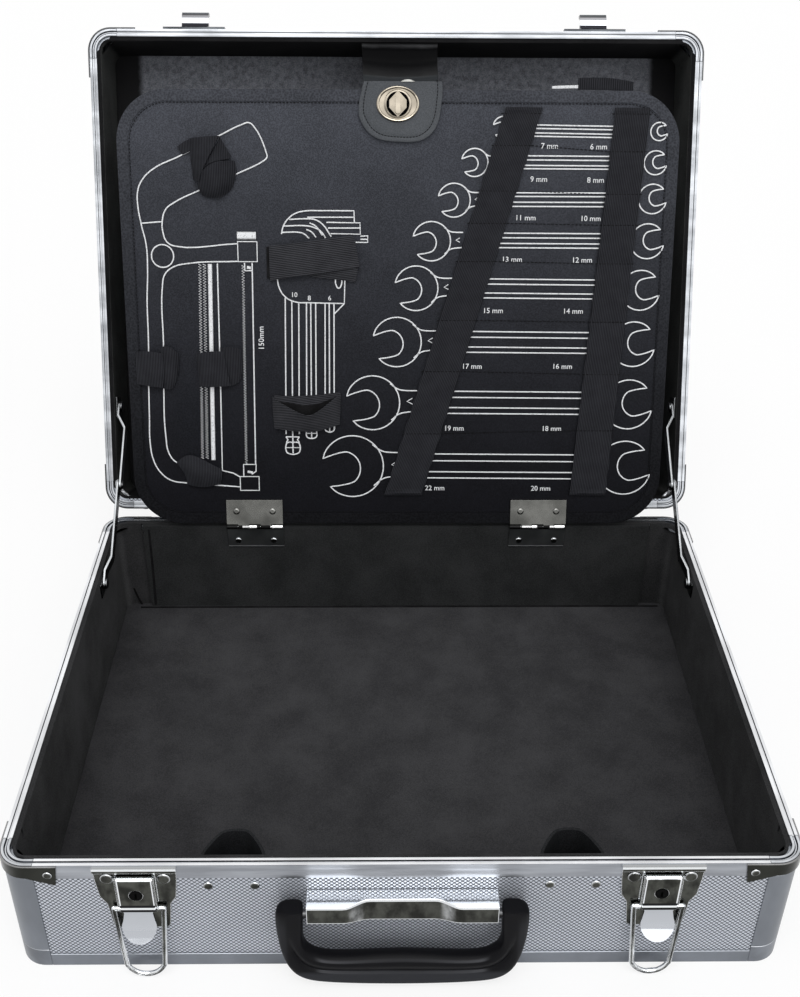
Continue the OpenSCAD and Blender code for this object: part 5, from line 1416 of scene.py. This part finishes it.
def makeLockPlate():
    x0, y0 = lockLook["centre"]
    wide, tall, height = lockRings[0]
    turns = [math.tau * k / 64 for k in range(64)]
    ring = [(x0 + wide * math.cos(a), y0 + tall * math.sin(a)) for a in turns]
    plate = outlined("turnLockPlate", ring, 0)
    editAll()
    for nextWide, nextTall, nextHeight in lockRings[1:]:
        pull(z=nextHeight - height)
        bpy.ops.transform.resize(value=(nextWide / wide, nextTall / tall, 1),
                                 center_override=(x0 * mm, y0 * mm, 0))
        wide, tall, height = nextWide, nextTall, nextHeight
    leaveEdit()
    coat(plate, nickel)
    plate.data.materials.append(lockShade)
    for face in plate.data.polygons:
        offset = face.center - Vector((x0 * mm, y0 * mm, 0))
        if math.hypot(offset.x, offset.y) < lockLook["shadedWell"] * mm and face.center.z > 0.3 * mm:
            face.material_index = 1
    plate.location = (0, 0, (boardLook["face"] + lockLook["foot"]) * mm)
    bpy.context.view_layer.update()
    settle(plate, boardPlace)
    smooth(plate, 40)
    flatten(plate)
    standIn(plate, "turn_lock_plate", "board")


makeLockPlate()

# Small things along the board's top edge: a pale washer in the strap's fold, and an elastic behind the edge
foldWasher = makePatch("foldWasher", [
    [(2, 329.7, 3.2), (4.6, 330, 3.6), (7.2, 330.1, 3.7), (9.8, 330, 3.6), (12.4, 329.7, 3.2)],
    [(2.6, 330.5, 2.9), (4.8, 331.4, 3.1), (7.2, 331.7, 3.2), (9.6, 331.4, 3.1), (11.8, 330.5, 2.9)]],
    0.5, 2, zinc)
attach(foldWasher, "board")
edgeElastic = makePatch("edgeElastic", [
    [(131, 326, -4.6), (146, 326, -4.6), (158, 325.6, -4.6), (171, 325, -4.6)],
    [(131, 331, -5.2), (146, 331.2, -5.4), (158, 330.8, -5), (171, 329.6, -5.2)],
    [(131, 334.2, -4.9), (146, 334.6, -5.2), (158, 334, -4.8), (171, 331.6, -5)]], 1, 2,
    makeWebbing("edgeElasticWebbing", 1.6, 0, boardPlace, 0))
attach(edgeElastic, "board")
edgeLine = makePatch("edgeLine", [
    [(112, 326.6, -4.8), (121, 326.8, -4.9), (131, 327, -4.8)],
    [(112, 328.4, -4.9), (121, 328.8, -5), (131, 329.2, -4.9)]], 0.6, 1, printed)
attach(edgeLine, "board")

webRun = [(274.4, 393.2), (274.6, 397.8), (276.8, 401.8), (285, 402.8), (300, 403.2), (314, 404),
          (325, 408.6), (334, 411.6)]
strapWeb = strip("strapWeb", webRun, (53, 57), 1.4, webHide, 2.2)
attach(strapWeb, "lid")
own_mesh(strapWeb)
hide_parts("strap_upper")
patchRun = [(333.4, 411), (335.6, 410.6), (342, 407.7), (350, 404.1), (355.6, 401.4)]
strapPatch = strip("strapPatch", patchRun, (57.5, 57.5), 1.2, webHide)
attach(strapPatch, "lid")
print("strap done")

# Tool loops inside the front wall
toolLoopLook = {"centre": 98, "levels": (59, 66, 74, 81), "thick": 1.8}
toolLoopRun = [(-8.6, -170.5), (-13, -170.4), (-17, -170), (-18, -167.6), (-16.4, -162.6), (-13.2, -156.4),
               (-9.8, -151), (-6.4, -147.6), (-1, -146.8), (5.8, -146.8), (9.4, -149.4), (12.4, -153.8),
               (15.4, -159), (18, -164.6), (18.4, -168), (17, -170), (13, -170.4), (8.6, -170.5)]


def makeToolLoops():
    made = []
    for side in (-1, 1):
        middle, lowest = side * toolLoopLook["centre"], toolLoopLook["levels"][0]
        rows = [[(middle + x, y + (0.5 if z == lowest else 0) * math.sin(x), z) for x, y in toolLoopRun]
                for z in toolLoopLook["levels"]]
        made.append(makePatch("toolLoop", rows, toolLoopLook["thick"], 2, loopHide, world, 0))
    toolLoops = joinAll(made, "toolLoops")
    standIn(toolLoops, "tool_loops", "base")


makeToolLoops()

# Black strips of painted shade for the creases in the base's lining, along the floor's back edge and in its
# left corner
creaseShadeRows = [
    [[(-210, 164.4, 8.45), (-120, 164.8, 8.45), (60, 165.2, 8.45), (217, 165.6, 8.45)],
     [(-210, 166.2, 8.6), (-120, 166.8, 8.6), (60, 167.2, 8.6), (217, 167.2, 8.6)]],
    [[(-198.9, 167.3, 10), (-197.4, 167.3, 50), (-196.8, 167.3, 84)],
     [(-196.9, 167.3, 10), (-195.5, 167.3, 50), (-195.2, 167.3, 84)]],
    [[(-215.6, 170.9, 24), (-213, 170.6, 14), (-210.6, 169.6, 8.8)],
     [(-214.2, 170.9, 24), (-211.4, 170.6, 14), (-208.6, 169.6, 8.8)]],
]
creaseShades = [makePatch("creaseShade", rows, 0.25, 2, thread, world) for rows in creaseShadeRows]
liningCreaseShade = joinAll(creaseShades, "liningCreaseShade")
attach(liningCreaseShade, "base")


# Stage, light and camera

stageLook = {"floor": (0.93, 0.93, 0.93), "paper": 0.75, "world": 0.52, "key": 1.25, "fill": 0.95}


def makeStage():
    deselect()
    bpy.ops.mesh.primitive_plane_add(size=24, location=(0, 3, 0))
    floor = bpy.context.object
    floor.name = "floor"
    finish = Finish("paleFloor", color=stageLook["floor"], roughness=0.9)
    tint = finish.noise(finish.place(), 900, 2)
    finish.set("Roughness", 0.88 + (tint - 0.5) * 0.05)
    paper = finish.node("ShaderNodeEmission", None, {"Color": (1, 1, 1), "Strength": 1.0})
    seen = finish.node("ShaderNodeLightPath", out="Is Camera Ray")
    mixed = finish.node("ShaderNodeMixShader", None,
                        {0: seen * stageLook["paper"], 1: Wire(finish, finish.shader.outputs[0]), 2: paper})
    output = next(n for n in finish.tree.nodes if n.type == "OUTPUT_MATERIAL")
    finish.tree.links.new(mixed.socket, output.inputs["Surface"])
    coat(floor, finish.material)
    studio = bpy.data.worlds.new("studio")
    bpy.context.scene.world = studio
    studio.use_nodes = True
    nodes, links = studio.node_tree.nodes, studio.node_tree.links
    back = nodes["Background"]
    path = nodes.new("ShaderNodeLightPath")
    seen, shown = nodes.new("ShaderNodeMath"), nodes.new("ShaderNodeMath")
    seen.operation = shown.operation = "MAXIMUM"
    strength = nodes.new("ShaderNodeMapRange")
    strength.inputs["To Min"].default_value = stageLook["world"]
    strength.inputs["To Max"].default_value = 1.0
    links.new(path.outputs["Is Camera Ray"], seen.inputs[0])
    links.new(path.outputs["Is Glossy Ray"], seen.inputs[1])
    links.new(seen.outputs[0], shown.inputs[0])
    links.new(path.outputs["Is Transmission Ray"], shown.inputs[1])
    links.new(shown.outputs[0], strength.inputs["Value"])
    links.new(strength.outputs[0], back.inputs["Strength"])
    back.inputs["Color"].default_value = (1, 1, 1, 1)


def addLamp(name, aim, width, power):
    data = bpy.data.lights.new(name, "SUN")
    data.angle, data.energy = math.radians(width), power
    lamp = bpy.data.objects.new(name, data)
    bpy.context.collection.objects.link(lamp)
    lamp.rotation_mode = "QUATERNION"
    lamp.rotation_quaternion = Vector(aim).to_track_quat("-Z", "Y")


# where the photo was taken from, in millimetres and degrees, and its focal length and middle in pixels
shot = {"spot": (-12.342, -664.187, 637.251), "pitch": 34.878, "yaw": 1.027, "roll": -0.562,
        "focal": 1258.802, "centre": (399.472, 557.062), "image": (800, 997), "sensor": 36}


def makeCamera():
    data = bpy.data.cameras.new("camera")
    camera = bpy.data.objects.new("camera", data)
    bpy.context.collection.objects.link(camera)
    turn = (Matrix.Rotation(math.radians(-shot["yaw"]), 4, "Z")
            @ Matrix.Rotation(math.radians(90 - shot["pitch"]), 4, "X")
            @ Matrix.Rotation(math.radians(-shot["roll"]), 4, "Z"))
    camera.matrix_world = Matrix.Translation(Vector(shot["spot"]) * mm) @ turn
    width, height = shot["image"]
    data.sensor_fit, data.sensor_width = "AUTO", shot["sensor"]
    data.lens = shot["focal"] * shot["sensor"] / height
    data.shift_x = (width / 2 - shot["centre"][0]) / height
    data.shift_y = (shot["centre"][1] - height / 2) / height
    data.clip_start, data.clip_end = 0.02, 40
    bpy.context.scene.camera = camera


makeStage()
addLamp("keyLight", (0.05, 0.55, -1.1), 45, stageLook["key"])
addLamp("fillLight", (-0.3, 1.0, -0.75), 60, stageLook["fill"])
makeCamera()
bpy.context.scene.view_settings.view_transform = "Standard"
print("stage set")

bpy.context.view_layer.update()
